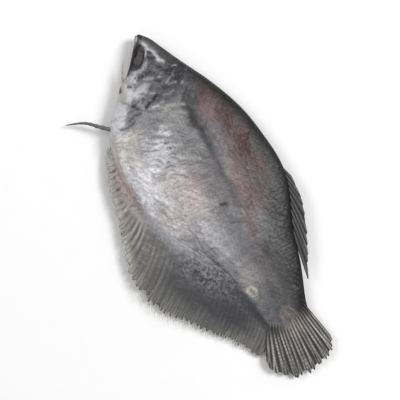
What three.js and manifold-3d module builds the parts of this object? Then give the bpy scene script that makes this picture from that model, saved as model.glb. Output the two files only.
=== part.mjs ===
// A dried gourami: one whole fish, salted and sun-dried, lying flat on its right side.
// Millimetres, +Z up. The snout points to -X, the back to +Y, and the left flank faces up.
// As in fish measuring, every place and size is a percentage of the standard length, from
// the snout to the root of the tail fin. X counts from the snout, Y from the snout's tip
// towards the back, and Z from the surface that the fish lies on.
import * as THREE from "three";
import { mergeVertices } from "three/addons/utils/BufferGeometryUtils.js";
import Module from "manifold-3d";

// Driving dimensions
const STANDARD_LENGTH = 143; // snout to the root of the tail fin
const BODY_END = 101.5; // the body runs a little way into the tail fin
const FIN_THICKNESS = 0.62; // a fin at its root
const FIN_EDGE_SHARE = 0.55; // its thickness at the margin, as a share of that at the root
const RAY_RELIEF = 0.24; // how far a ray stands proud of the membrane, on each side
const NOTCH = { tail: 0.09, anal: 0.06, dorsal: 0.08, pectoral: 0.06 }; // the membrane ends
// short of the ray tips by this share of a ray

// Outlines of the body, seen from above
const BACK = [
  [0, 0.8], [2.6, 3.0], [6.6, 5.0], [12.4, 7.9], [24, 14.0], [35.3, 18.4], [46.8, 20.6],
  [56, 21.3], [64, 19.9], [75.5, 15.3], [87, 12.0], [97.3, 8.3], [102, 7.2],
];
const BELLY = [
  [0, -0.9], [4, -3.7], [9.5, -8.6], [11.5, -11.7], [15, -15], [22.1, -21.3], [30, -24.2],
  [40, -25.3], [50, -24.2], [59, -21.4], [66, -17.6], [72, -14.2], [79, -11.3], [89, -8.7],
  [102, -6.8],
];
// Where the flank is thickest
const FLANK = [[0, 0], [10, -1.4], [30, -2], [55, -1.4], [80, 1], [102, 0.2]];

// Height of the fish's edge above the surface, then the flanks' rise above and below it
const EDGE_HEIGHT = [[0, 3.6], [20, 4.2], [50, 4.5], [80, 3.8], [100, 2.8], [119, 1.9]];
const UPPER_FLANK = [
  [0, 0.8], [3, 2.3], [8, 3.3], [15, 4.2], [25, 5.0], [38, 5.5], [55, 5.3], [73, 4.1],
  [87, 2.6], [100, 1.4], [102, 1.2],
];
const LOWER_FLANK_SHARE = 0.94; // of the upper flank, before it is pressed flat
// Shape of a flank's cross-section: it falls as (1 - out ** SHOULDER) ** SIDE
const SHOULDER = [[0, 3.4], [15, 2.9], [35, 2.2], [70, 2.1], [102, 2]];
const BACK_SIDE = 0.6;
const BELLY_SIDE = 0.68;

// Relief of the dried flesh: slow waves over the flanks, and folds. A fold is given by its
// line's two ends, its height and its half-width.
const RIB_HEIGHT = 0.2;
const DIP_HEIGHT = 0.14;
const FOLDS = [
  [30, -8, 37, -17, 0.34, 1.7], [36, -17, 41, -22.5, 0.4, 1.5], [44, -13, 51, -18.5, 0.36, 1.7],
  [52, -15.5, 58, -18.8, 0.42, 1.5], [58, -14.5, 66, -10.5, 0.32, 1.5],
  [30, 11, 52, 13, 0.3, 2.2], [60, 10, 80, 6, 0.26, 2],
];

// Fins: each ray runs from the root line to the tip line
const TAIL_ROOT = [[0, 98.5, 7.4], [1, 98.5, -6.6]];
const TAIL_TIPS = [
  [0, 112.2, 10.3], [0.1, 115.2, 8.9], [0.25, 117.0, 5.6], [0.4, 118.0, 1.9],
  [0.55, 118.9, -1.8], [0.7, 118.2, -5.4], [0.83, 116.6, -8.6], [0.93, 113.6, -11.3],
  [1, 109.4, -12.0],
];
const TAIL_RAYS = 19;
const ANAL_ROOT_FROM = 25; // along the belly's edge
const ANAL_ROOT_TO = 99;
const ANAL_TIPS = [
  [0, 26.9, -24.9], [0.12, 36.5, -29.6], [0.25, 50, -32.8], [0.38, 67, -37.2],
  [0.5, 78, -34.6], [0.62, 86.7, -28.2], [0.75, 94.4, -21.9], [0.88, 101.5, -16.6],
  [1, 107, -12.9],
];
const ANAL_RAYS = 42;
const DORSAL_ROOT_FROM = 53; // along the back's edge
const DORSAL_ROOT_TO = 73;
const DORSAL_TIPS = [
  [0, 62, 22.4], [0.25, 70.5, 21.4], [0.5, 78.4, 18.8], [0.75, 86, 15.4], [1, 92.7, 11.6],
];
const DORSAL_RAYS = 9;
const FIN_BOW = { anal: 1.6, dorsal: 0, tail: 0 }; // how far the rays curve backwards
const FIN_WAVE = { anal: 0.3, tail: 0.35 }; // how far the margin waves up and down
const ANAL_IN_BODY = 1.6; // how far the roots are sunk into the body
const DORSAL_IN_BODY = 1.4;
const ANAL_DROOP = 1.7; // how far the margin hangs below the root
const DORSAL_CURL = 0.5; // how far the margin stands above it
const PECTORAL_ROOT = [[0, 25.6, -6.3], [1, 25.0, 1.1]];
const PECTORAL_TIPS = [
  [0, 38.2, -8.4], [0.3, 42.6, -5.2], [0.6, 44.8, -1.2], [0.85, 44.2, 2.2], [1, 41.5, 3.2],
];
const PECTORAL_RAYS = 10;
const PECTORAL_LIFT = 0.36; // how far it stands off the flank
const PECTORAL_IN_BODY = 0.6;

// Head
const EYE = { x: 6.5, y: -3.4, long: 3.9, short: 2.2, turn: -45 }; // the sunken socket
const EYE_DEPTH = 1.4;
const EYEBALL_SHARE = 0.7; // of the socket
const EYEBALL_SUNK = 1.1; // its middle below the skin
const GILL_FRONT = [[-15.4, 13.6], [-11, 12.8], [-4, 14.2], [3, 17], [6.6, 19.2]]; // y, x
const GILL_REAR = [
  [-15.4, 14.8], [-13.3, 17.4], [-11, 20.4], [-6.5, 23.9], [-2, 25.4], [2, 25], [5, 22.4],
  [6.6, 20],
];
const GILL_LIFT = 0.55; // the free edge above the flank
const GILL_IN_BODY = 1;
const MOUTH = [[-0.2, 0.3], [1.5, -1.0], [3.2, -2.6], [4.1, -4.2]];
const MOUTH_RADIUS = 0.3;

// Threads and marks
const PELVIC_THREAD = [
  [22.4, -20.8, 4.3], [19.8, -23.6, 4], [17.5, -25.9, 3.6], [16.1, -28.1, 3],
  [14.9, -31.0, 2.2], [14.2, -32.9, 1.7],
];
const UNDER_THREAD = [ // the right one, swept back beneath the anal fin
  [23.8, -20.2, 3.2], [26.4, -22.6, 2.3], [31, -25.4, 1.4], [38, -27.4, 1],
  [46, -28.4, 0.8], [54, -28.8, 0.7],
];
const THREAD_RADII = [0.66, 0.62, 0.5, 0.4, 0.26, 0.15];
const GILL_SPINE = [[13.6, -11.6, 4.9], [10.7, -10.6, 4.6], [7.8, -9.1, 4.4], [5, -7.4, 4.3]];
const GILL_SPINE_RADII = [0.42, 0.36, 0.28, 0.14];
const RING_MARK = { x: 87.4, y: -5.2, radius: 1.3, wire: 0.36 };

// Mesh steps
const BODY_STEPS = { along: 58, across: 24 };
const GILL_STEPS = { along: 6, across: 12 };
const FIN_STEPS_ALONG_RAY = 4;
const SOCKET_STEPS = { round: 14, down: 8 };
const EYEBALL_STEPS = { round: 10, down: 6 };
const RING_STEPS = { round: 14, section: 5 };
const THREAD_SIDES = 6;
const THREAD_STEPS = 3; // between two of its points

const wasm = await Module();
wasm.setup();

const percent = (share) => (share * STANDARD_LENGTH) / 100;

// A smooth curve through [x, value, value...] keys, read at x, held level past both ends.
function through(keys, x, column = 1) {
  const last = keys.length - 1;
  if (x <= keys[0][0]) return keys[0][column];
  if (x >= keys[last][0]) return keys[last][column];
  let i = 0;
  while (x > keys[i + 1][0]) i += 1;
  const slope = (a, b) => (keys[b][column] - keys[a][column]) / (keys[b][0] - keys[a][0]);
  const from = slope(Math.max(i - 1, 0), i + 1);
  const to = slope(i, Math.min(i + 2, last));
  const span = keys[i + 1][0] - keys[i][0];
  const t = (x - keys[i][0]) / span;
  const level = keys[i][column] * (1 + 2 * t) * (1 - t) ** 2;
  const next = keys[i + 1][column] * t * t * (3 - 2 * t);
  return level + next + span * (from * t * (1 - t) ** 2 + to * t * t * (t - 1));
}

// Height of a fold at x and y: a low ridge along the line from its first to its last point.
function foldHeight([x1, y1, x2, y2, height, width], x, y) {
  const length = Math.hypot(x2 - x1, y2 - y1);
  const along = ((x - x1) * (x2 - x1) + (y - y1) * (y2 - y1)) / length;
  const past = Math.max(0, -along, along - length);
  const aside = ((x - x1) * (y2 - y1) - (y - y1) * (x2 - x1)) / length;
  return height * Math.exp(-((aside / width) ** 2) - (past / (2 * width)) ** 2);
}

// Slow swells and dips of the dried flesh, and the folds on them.
function swell(x, y) {
  const ribs = RIB_HEIGHT * Math.sin(x * 0.52 + y * 0.31) * Math.sin(y * 0.27 + 1.3);
  const dips = DIP_HEIGHT * Math.sin(x * 0.21 - y * 0.44 + 0.6);
  return FOLDS.reduce((sum, fold) => sum + foldHeight(fold, x, y), ribs + dips);
}

// How far a flank has fallen away at y, from 1 on its crest to 0 at the fish's edge.
function roundness(x, y) {
  const crest = through(FLANK, x);
  const edge = y > crest ? through(BACK, x) : through(BELLY, x);
  const out = Math.min(1, Math.abs((y - crest) / (edge - crest)));
  return (1 - out ** through(SHOULDER, x)) ** (y > crest ? BACK_SIDE : BELLY_SIDE);
}

// Height of the upper and of the lower skin above the surface.
function upperSkin(x, y) {
  const full = roundness(x, y);
  return through(EDGE_HEIGHT, x) + through(UPPER_FLANK, x) * full + swell(x, y) * full;
}

function lowerSkin(x, y) {
  const full = roundness(x, y);
  const depth = through(UPPER_FLANK, x) * LOWER_FLANK_SHARE * full;
  return Math.max(0, through(EDGE_HEIGHT, x) - depth - swell(x, y) * full);
}

// A solid from vertices in percent and from triangles, in millimetres.
function solid(points, triangles) {
  const geometry = new THREE.BufferGeometry();
  const flat = points.flat().map(percent);
  geometry.setAttribute("position", new THREE.Float32BufferAttribute(flat, 3));
  geometry.setIndex(triangles);
  return solidFrom(geometry);
}

function solidFrom(geometry) {
  geometry.deleteAttribute("normal");
  geometry.deleteAttribute("uv");
  const merged = mergeVertices(geometry, 1e-4);
  const mesh = new wasm.Mesh({
    numProp: 3,
    vertProperties: merged.attributes.position.array,
    triVerts: new Uint32Array(merged.index.array),
  });
  return new wasm.Manifold(mesh);
}

// A solid between an upper and a lower sheet that meet along their rim. at(s, t) gives
// [x, y, upper z, lower z] for s and t from 0 to 1. With s to +X, t runs to +Y.
function pillow(along, across, at) {
  const points = [];
  const upper = [];
  const lower = [];
  for (let i = 0; i <= along; i += 1) {
    for (let j = 0; j <= across; j += 1) {
      const [x, y, high, low] = at(i / along, j / across, i, j);
      const onRim = i === 0 || j === 0 || i === along || j === across;
      upper.push(points.length);
      points.push([x, y, onRim ? (high + low) / 2 : high]);
      lower.push(onRim ? points.length - 1 : points.length);
      if (!onRim) points.push([x, y, low]);
    }
  }
  const triangles = [];
  for (let i = 0; i < along; i += 1) {
    for (let j = 0; j < across; j += 1) {
      const a = i * (across + 1) + j;
      const [b, c, d] = [a + across + 1, a + across + 2, a + 1];
      triangles.push(upper[a], upper[b], upper[c], upper[a], upper[c], upper[d]);
      triangles.push(lower[a], lower[c], lower[b], lower[a], lower[d], lower[c]);
    }
  }
  return solid(points, triangles);
}

// A round thread that tapers along its points.
function thread(points, radii) {
  const curve = new THREE.CatmullRomCurve3(points.map((p) => new THREE.Vector3(...p)));
  const steps = (points.length - 1) * THREAD_STEPS;
  const frames = curve.computeFrenetFrames(steps, false);
  const rings = [];
  for (let i = 0; i <= steps; i += 1) {
    const centre = curve.getPoint(i / steps);
    const keys = radii.map((r, k) => [k / (radii.length - 1), r]);
    const radius = through(keys, i / steps);
    for (let k = 0; k < THREAD_SIDES; k += 1) {
      const turn = (2 * Math.PI * k) / THREAD_SIDES;
      const out = frames.normals[i].clone().multiplyScalar(Math.cos(turn) * radius);
      out.addScaledVector(frames.binormals[i], Math.sin(turn) * radius).add(centre);
      rings.push(out.toArray());
    }
  }
  const triangles = [];
  for (let i = 0; i < steps; i += 1) {
    for (let k = 0; k < THREAD_SIDES; k += 1) {
      const [a, b] = [i * THREAD_SIDES + k, i * THREAD_SIDES + ((k + 1) % THREAD_SIDES)];
      triangles.push(a, b, b + THREAD_SIDES, a, b + THREAD_SIDES, a + THREAD_SIDES);
    }
  }
  const end = steps * THREAD_SIDES;
  for (let k = 1; k < THREAD_SIDES - 1; k += 1) {
    triangles.push(0, k + 1, k, end, end + k, end + k + 1);
  }
  return solid(rings, triangles);
}

// An ellipsoid, its long axis turned in plan.
function ellipsoid(centre, radii, turn, steps) {
  const geometry = new THREE.SphereGeometry(1, steps.round, steps.down);
  geometry.scale(...radii.map(percent));
  geometry.rotateZ(THREE.MathUtils.degToRad(turn));
  geometry.translate(...centre.map(percent));
  return solidFrom(geometry);
}

function body() {
  const { along, across } = BODY_STEPS;
  return pillow(along, across, (s, t) => {
    const x = BODY_END * s ** 1.25; // finer steps on the head
    const out = -Math.cos(Math.PI * t); // finer steps towards both edges
    const crest = through(FLANK, x);
    const y = out > 0
      ? crest + out * (through(BACK, x) - crest)
      : crest + out * (crest - through(BELLY, x));
    return [x, y, upperSkin(x, y), lowerSkin(x, y)];
  });
}

const pointOn = (keys) => (u) => [through(keys, u, 1), through(keys, u, 2)];

// A fin between its root line and its tip line: u runs across the rays and v out along
// them. Every second column is a ray, and the membrane between ends short of its tips.
function fin({ rays, bow, notch, rootAt, tipAt, heightAt, flip }) {
  const across = rays * 2;
  return pillow(FIN_STEPS_ALONG_RAY, across, (s, t, i, j) => {
    const u = flip ? 1 - t : t;
    const root = rootAt(u);
    const tip = tipAt(u);
    const onRay = j % 2 === 1;
    const v = onRay ? s : s * (1 - notch);
    const side = [root[1] - tip[1], tip[0] - root[0]];
    const bend = (bow * v * (1 - v) * 4) / Math.hypot(...side);
    const x = root[0] + (tip[0] - root[0]) * v + side[0] * bend;
    const y = root[1] + (tip[1] - root[1]) * v + side[1] * bend;
    const middle = heightAt(u, v, x);
    const fade = 1 - v * (1 - FIN_EDGE_SHARE);
    const half = (FIN_THICKNESS / 2 + (onRay ? RAY_RELIEF : 0)) * fade;
    return [x, y, middle + half, middle - half];
  });
}

function tailFin() {
  return fin({
    rays: TAIL_RAYS,
    bow: FIN_BOW.tail,
    notch: NOTCH.tail,
    rootAt: pointOn(TAIL_ROOT),
    tipAt: pointOn(TAIL_TIPS),
    heightAt: (u, v, x) => through(EDGE_HEIGHT, x) + FIN_WAVE.tail * v * Math.sin(9 * u),
    flip: true,
  });
}

function analFin() {
  return fin({
    rays: ANAL_RAYS,
    bow: FIN_BOW.anal,
    notch: NOTCH.anal,
    rootAt: (u) => {
      const x = ANAL_ROOT_FROM + (ANAL_ROOT_TO - ANAL_ROOT_FROM) * u;
      return [x, through(BELLY, x) + ANAL_IN_BODY];
    },
    tipAt: pointOn(ANAL_TIPS),
    heightAt: (u, v, x) => {
      const wave = FIN_WAVE.anal * v * Math.sin(21 * u);
      return through(EDGE_HEIGHT, x) - ANAL_DROOP * v * v + wave;
    },
    flip: false,
  });
}

function dorsalFin() {
  return fin({
    rays: DORSAL_RAYS,
    bow: FIN_BOW.dorsal,
    notch: NOTCH.dorsal,
    rootAt: (u) => {
      const x = DORSAL_ROOT_FROM + (DORSAL_ROOT_TO - DORSAL_ROOT_FROM) * u;
      return [x, through(BACK, x) - DORSAL_IN_BODY];
    },
    tipAt: pointOn(DORSAL_TIPS),
    heightAt: (u, v, x) => through(EDGE_HEIGHT, x) + DORSAL_CURL * v,
    flip: true,
  });
}

// The pectoral fin lies pressed on the upper flank, so its sheets follow the skin.
function pectoralFin() {
  return pillow(FIN_STEPS_ALONG_RAY, PECTORAL_RAYS * 2, (s, t, i, j) => {
    const onRay = j % 2 === 1;
    const v = onRay ? s : s * (1 - NOTCH.pectoral);
    const x = through(PECTORAL_ROOT, t, 1) * (1 - v) + through(PECTORAL_TIPS, t, 1) * v;
    const y = through(PECTORAL_ROOT, t, 2) * (1 - v) + through(PECTORAL_TIPS, t, 2) * v;
    const skin = upperSkin(x, y);
    const lift = PECTORAL_LIFT + (onRay ? RAY_RELIEF / 2 : 0);
    return [x, y, skin + lift, skin - PECTORAL_IN_BODY];
  });
}

// The bony plate over the gills: it rises out of the cheek and ends in a free edge.
function gillCover(skinAt, outwards) {
  const [bottom, top] = [GILL_REAR[0][0], GILL_REAR[GILL_REAR.length - 1][0]];
  return pillow(GILL_STEPS.along, GILL_STEPS.across, (s, t) => {
    const y = bottom + (top - bottom) * t;
    const front = through(GILL_FRONT, y);
    const back = 1 - (1 - s) ** 1.8; // finer steps towards the free edge
    const x = front + (through(GILL_REAR, y) - front) * back;
    const rise = Math.min(1, back * 3 - 0.6); // below the skin at the cheek
    const outer = skinAt(x, y) + outwards * GILL_LIFT * rise;
    const inner = skinAt(x, y) - outwards * GILL_IN_BODY;
    return outwards > 0 ? [x, y, outer, inner] : [x, y, inner, Math.max(0, outer)];
  });
}

function mouth() {
  const points = MOUTH.map(([x, y]) => [x, y, upperSkin(x, y)]);
  return thread(points, MOUTH.map(() => MOUTH_RADIUS));
}

function eyeSocket(skinAt) {
  const radii = [EYE.long, EYE.short, EYE_DEPTH];
  return ellipsoid([EYE.x, EYE.y, skinAt(EYE.x, EYE.y)], radii, EYE.turn, SOCKET_STEPS);
}

function eyeball(skinAt, outwards) {
  const z = skinAt(EYE.x, EYE.y) - outwards * EYEBALL_SUNK;
  const radii = [EYE.long, EYE.short, EYE_DEPTH].map((radius) => radius * EYEBALL_SHARE);
  return ellipsoid([EYE.x, EYE.y, z], radii, EYE.turn, EYEBALL_STEPS);
}

// A small pale ring on the skin near the tail.
function ringMark() {
  const { x, y, radius, wire } = RING_MARK;
  const { round, section } = RING_STEPS;
  const ring = new THREE.TorusGeometry(percent(radius), percent(wire), section, round);
  ring.translate(percent(x), percent(y), percent(upperSkin(x, y)));
  return solidFrom(ring);
}

function wholeFish() {
  const covers = gillCover(upperSkin, 1).add(gillCover(lowerSkin, -1));
  const sockets = eyeSocket(upperSkin).add(eyeSocket(lowerSkin));
  const head = body().add(covers).subtract(sockets).subtract(mouth());
  const fins = tailFin().add(analFin()).add(dorsalFin());
  const threads = thread(PELVIC_THREAD, THREAD_RADII)
    .add(thread(UNDER_THREAD, THREAD_RADII))
    .add(thread(GILL_SPINE, GILL_SPINE_RADII));
  const eyes = eyeball(upperSkin, 1).add(eyeball(lowerSkin, -1));
  return head.add(eyes).add(pectoralFin()).add(fins).add(threads).add(ringMark());
}

// The origin is the middle of the fish's footprint, on the surface that it lies on.
function centred(made) {
  const { vertProperties, triVerts, numProp } = made.getMesh();
  const geometry = new THREE.BufferGeometry();
  const positions = [];
  for (let i = 0; i < vertProperties.length; i += numProp) {
    positions.push(...vertProperties.subarray(i, i + 3));
  }
  geometry.setAttribute("position", new THREE.Float32BufferAttribute(positions, 3));
  geometry.setIndex(new THREE.BufferAttribute(triVerts, 1));
  geometry.computeBoundingBox();
  const middle = geometry.boundingBox.getCenter(new THREE.Vector3());
  geometry.translate(-middle.x, -middle.y, -geometry.boundingBox.min.z);
  geometry.computeVertexNormals();
  return geometry;
}

const driedSkin = new THREE.MeshStandardMaterial({
  color: new THREE.Color(0.3, 0.29, 0.29),
  roughness: 0.5,
  metalness: 0,
});

const gourami = new THREE.Mesh(centred(wholeFish()), driedSkin);
gourami.name = "gourami";

const group = new THREE.Group();
group.add(gourami);

export default group;
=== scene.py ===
"""A dried gourami: the skin, fins, eyes and threads of one whole salted, sun-dried fish.

Places on the fish are given as in fish measuring, in shares: hundredths of the standard
length, which runs from the snout to the root of the tail fin. x counts from the snout
towards the tail, y from the snout's height towards the back, and z from the surface that
the fish lies on, so z rises out of the left flank.
"""

from math import atan2, cos, pi, radians, sin, tau

import bpy
import numpy as np
from bpy.props import FloatProperty, FloatVectorProperty, IntProperty, PointerProperty
from mathutils import Matrix, Vector


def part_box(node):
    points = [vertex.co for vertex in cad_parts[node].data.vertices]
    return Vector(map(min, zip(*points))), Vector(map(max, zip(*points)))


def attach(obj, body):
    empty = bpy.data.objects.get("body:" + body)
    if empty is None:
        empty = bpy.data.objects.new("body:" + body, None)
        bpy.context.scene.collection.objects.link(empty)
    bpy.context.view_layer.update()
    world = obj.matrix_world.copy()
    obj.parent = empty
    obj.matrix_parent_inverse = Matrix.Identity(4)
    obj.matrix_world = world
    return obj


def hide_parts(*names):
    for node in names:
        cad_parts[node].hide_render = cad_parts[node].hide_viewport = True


bl_info = {
    "name": "Dried gourami",
    "version": (1, 0, 0),
    "blender": (4, 5, 0),
    "location": "View3D > Sidebar > Dried gourami",
    "description": "Builds a whole dried gourami around its packed model",
    "category": "Add Mesh",
}

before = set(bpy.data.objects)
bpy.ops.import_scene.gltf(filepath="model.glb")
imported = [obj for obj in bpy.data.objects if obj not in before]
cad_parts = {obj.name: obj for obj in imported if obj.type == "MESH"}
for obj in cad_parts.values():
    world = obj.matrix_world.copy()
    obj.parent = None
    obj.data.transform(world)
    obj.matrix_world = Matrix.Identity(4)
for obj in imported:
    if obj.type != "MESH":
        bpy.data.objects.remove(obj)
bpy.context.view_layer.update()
NODE = "gourami"
LOW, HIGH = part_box(NODE)

TOTAL_LENGTH = 118.9  # shares from the snout to the tip of the tail fin
ANAL_FIN_REACH = 37.2  # shares from the snout's height down to the anal fin's lowest tip
SHARE = (HIGH[0] - LOW[0]) / TOTAL_LENGTH  # one share, in metres

# Outlines of the body, seen from above: x, y
BACK = (
    (0, 0.8), (2.6, 3.0), (6.6, 5.0), (12.4, 7.9), (24, 14.0), (35.3, 18.4), (46.8, 20.6),
    (56, 21.3), (64, 19.9), (75.5, 15.3), (87, 12.0), (97.3, 8.3), (102, 7.2),
)
BELLY = (
    (0, -0.9), (4, -3.7), (9.5, -8.6), (11.5, -11.7), (15, -15), (22.1, -21.3), (30, -24.2),
    (40, -25.3), (50, -24.2), (59, -21.4), (66, -17.6), (72, -14.2), (79, -11.3),
    (89, -8.7), (102, -6.8),
)
FLANK = ((0, 0), (10, -1.4), (30, -2), (55, -1.4), (80, 1), (102, 0.2))  # the thickest line
BODY_END = 101.5

# Height of the fish's edge, and the flanks' rise above and below it: x, share
EDGE_HEIGHT = ((0, 3.6), (20, 4.2), (50, 4.5), (80, 3.8), (100, 2.8), (119, 1.9))
UPPER_FLANK = (
    (0, 0.8), (3, 2.3), (8, 3.3), (15, 4.2), (25, 5.0), (38, 5.5), (55, 5.3), (73, 4.1),
    (87, 2.6), (100, 1.4), (102, 1.2),
)
LOWER_FLANK_SHARE = 0.94
SHOULDER = ((0, 3.4), (15, 2.9), (35, 2.2), (70, 2.1), (102, 2))  # how flat the flanks are
BACK_SIDE = 0.6  # how bluntly a flank falls away to the back, and to the belly
BELLY_SIDE = 0.68
RIB_HEIGHT = 0.2
DIP_HEIGHT = 0.14

# Fins: root line and tip line, from the first ray to the last: place among the rays, x, y
TAIL_ROOT = ((0, 98.5, 7.4), (1, 98.5, -6.6))
TAIL_TIPS = (
    (0, 112.2, 10.3), (0.1, 115.2, 8.9), (0.25, 117.0, 5.6), (0.4, 118.0, 1.9),
    (0.55, 118.9, -1.8), (0.7, 118.2, -5.4), (0.83, 116.6, -8.6), (0.93, 113.6, -11.3),
    (1, 109.4, -12.0),
)
ANAL_ROOT = (25, 99)  # x along the belly's edge
ANAL_TIPS = (
    (0, 26.9, -24.9), (0.12, 36.5, -29.6), (0.25, 50, -32.8), (0.38, 67, -37.2),
    (0.5, 78, -34.6), (0.62, 86.7, -28.2), (0.75, 94.4, -21.9), (0.88, 101.5, -16.6),
    (1, 107, -12.9),
)
DORSAL_ROOT = (53, 73)  # x along the back's edge
DORSAL_TIPS = (
    (0, 62, 22.4), (0.25, 70.5, 21.4), (0.5, 78.4, 18.8), (0.75, 86, 15.4), (1, 92.7, 11.6),
)
PECTORAL_ROOT = ((0, 25.6, -6.3), (1, 25.0, 1.1))
PECTORAL_TIPS = (
    (0, 38.2, -8.4), (0.3, 42.6, -5.2), (0.6, 44.8, -1.2), (0.85, 44.2, 2.2), (1, 41.5, 3.2),
)
ANAL_IN_BODY = 1.6  # how deep the fins' roots lie in the body or the flank
DORSAL_IN_BODY = 1.4
PECTORAL_SUNK = 0.3
PECTORAL_LIFT = 0.06  # how far it stands off the flank
ANAL_DROOP = 1.7  # how far its margin hangs down
DORSAL_CURL = 0.5  # how far its margin curls up
FIN_FILLET = 1.25  # how thick flesh builds up along the anal fin's root
STEPS_ACROSS_RAY = 12

# Threads: x, y, z
LEFT_THREAD = (
    (22.4, -20.8, 4.3), (19.8, -23.6, 4), (17.5, -25.9, 3.6), (16.1, -28.1, 3),
    (14.9, -31.0, 2.2), (14.2, -32.9, 1.7),
)
RIGHT_THREAD = (
    (23.8, -20.2, 3.2), (26.4, -22.6, 2.3), (31, -25.4, 1.4), (38, -27.4, 1),
    (46, -28.4, 0.8), (54, -28.8, 0.7),
)
THREAD_RADII = (0.66, 0.62, 0.5, 0.4, 0.26, 0.1)
GILL_SPINE = ((13.6, -11.6, 4.9), (10.7, -10.6, 4.6), (7.8, -9.1, 4.4), (5, -7.4, 4.3))
GILL_SPINE_RADII = (0.42, 0.36, 0.26, 0.06)
THREAD_SIDES = THREAD_STEPS = 12
HAIR_RADII = (0.13, 0.11, 0.07, 0.02)
HAIR_LENGTHS = (0.6, 2.4)  # the shortest and the longest
HAIR_SIDES = 5
HAIR_STEPS = 3

# Head: the eye's socket, the eyeball, the ridge in front of the gill plate, and the front and
# rear edges of that plate as y, x
EYE = (6.5, -3.4)
EYE_REACH = (4.3, 2.3)
EYE_TURN = radians(-45)
EYE_DEPTH = 1.5
EYEBALL = (7.4, -2.7)
EYEBALL_RADII = (3.8, 2.0, 0.9)
EYEBALL_STEPS = (48, 24)
CHEEK_RIDGE = ((11, 3), (12.4, 0), (13.4, -5), (14.8, -11))
GILL_FRONT = ((-15.4, 13.6), (-11, 12.8), (-4, 14.2), (3, 17), (6.6, 19.2))
GILL_REAR = (
    (-15.4, 14.8), (-13.3, 17.4), (-11, 20.4), (-6.5, 23.9), (-2, 25.4), (2, 25), (5, 22.4),
    (6.6, 20),
)

# Lines drawn in the skin: half-width, height (below 0 it is dug), strength of its colour, points
BONES = (
    (0.62, 0.3, 0.95, ((3.5, 0.2), (4.6, 0.8), (5.7, 0.7), (6.5, 1.5), (7.6, 2.1), (9.2, 2.1))),
    (0.6, 0.3, 0.9, ((9.2, 2.1), (10.3, 2.3), (11.4, 3.3))),
    (0.4, 0.22, 0.7, ((5.6, 0.4), (6.5, -0.2), (7.3, -0.9))),
    (0.5, 0.25, 0.5, ((9.3, -1.5), (9.8, -2.6), (10.7, -3.8), (10.6, -5.4), (10.2, -6.6))),
    (0.5, 0.22, 0.5, ((14.6, -2.2), (13.9, -3.8), (13.5, -5.1))),
    (0.9, 0.25, 0.8, ((15.6, -4.9), (16.2, -6.4), (16.4, -8), (17, -9.6))),
    (0.4, 0.2, 0.45, ((16.4, 4), (17, 2.4), (17.9, 0.9))),
    (0.36, 0.18, 0.45, ((18.9, 3.8), (18.5, 2.4), (18.6, 1.4))),
    (0.36, 0.18, 0.4, ((12.2, 0.4), (12.9, -1.1))),
    (0.4, 0.18, 0.4, ((20.6, 1.8), (21.3, 0.4), (20.8, -1.2))),
    (0.4, 0.2, 0.5, ((22.4, -2.4), (22.9, -4.6), (22.8, -6.4))),
    (0.4, 0.22, 0.7, ((26.1, -15.6), (26.4, -17.4), (25.7, -20.4))),
    (0.6, 0.18, 0.5, ((11, -8.7), (12.6, -8.2), (13.6, -7.2))),
    (0.9, 0.2, 0.6, ((15.2, -11.6), (16.6, -12), (17.6, -12.4))),
    (0.3, 0.16, 0.7, ((0.5, -0.4), (1.5, -1.1), (2.6, -2))),
    (0.3, 0.12, 0.22, ((96.6, 2.4), (99, 3.3), (102.5, 4.6))),
    (0.3, 0.12, 0.25, ((97.2, 1), (99.6, 1.3), (103, 1.8))),
    (0.3, 0.12, 0.2, ((97, -0.6), (99.5, -1), (103, -1.7))),
)
SHOULDER_ARCS = (
    (0.75, 0.28, 0.75, ((26, 2.4), (25.5, 1.2), (25, -0.8), (25.1, -3.2))),
    (0.7, 0.28, 0.7, ((28.7, 1.7), (27.8, 0.3), (26.8, -2.4))),
    (0.6, 0.1, 0.3, ((41.6, 2), (40.4, 0), (39.2, -2.4))),
)
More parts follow.
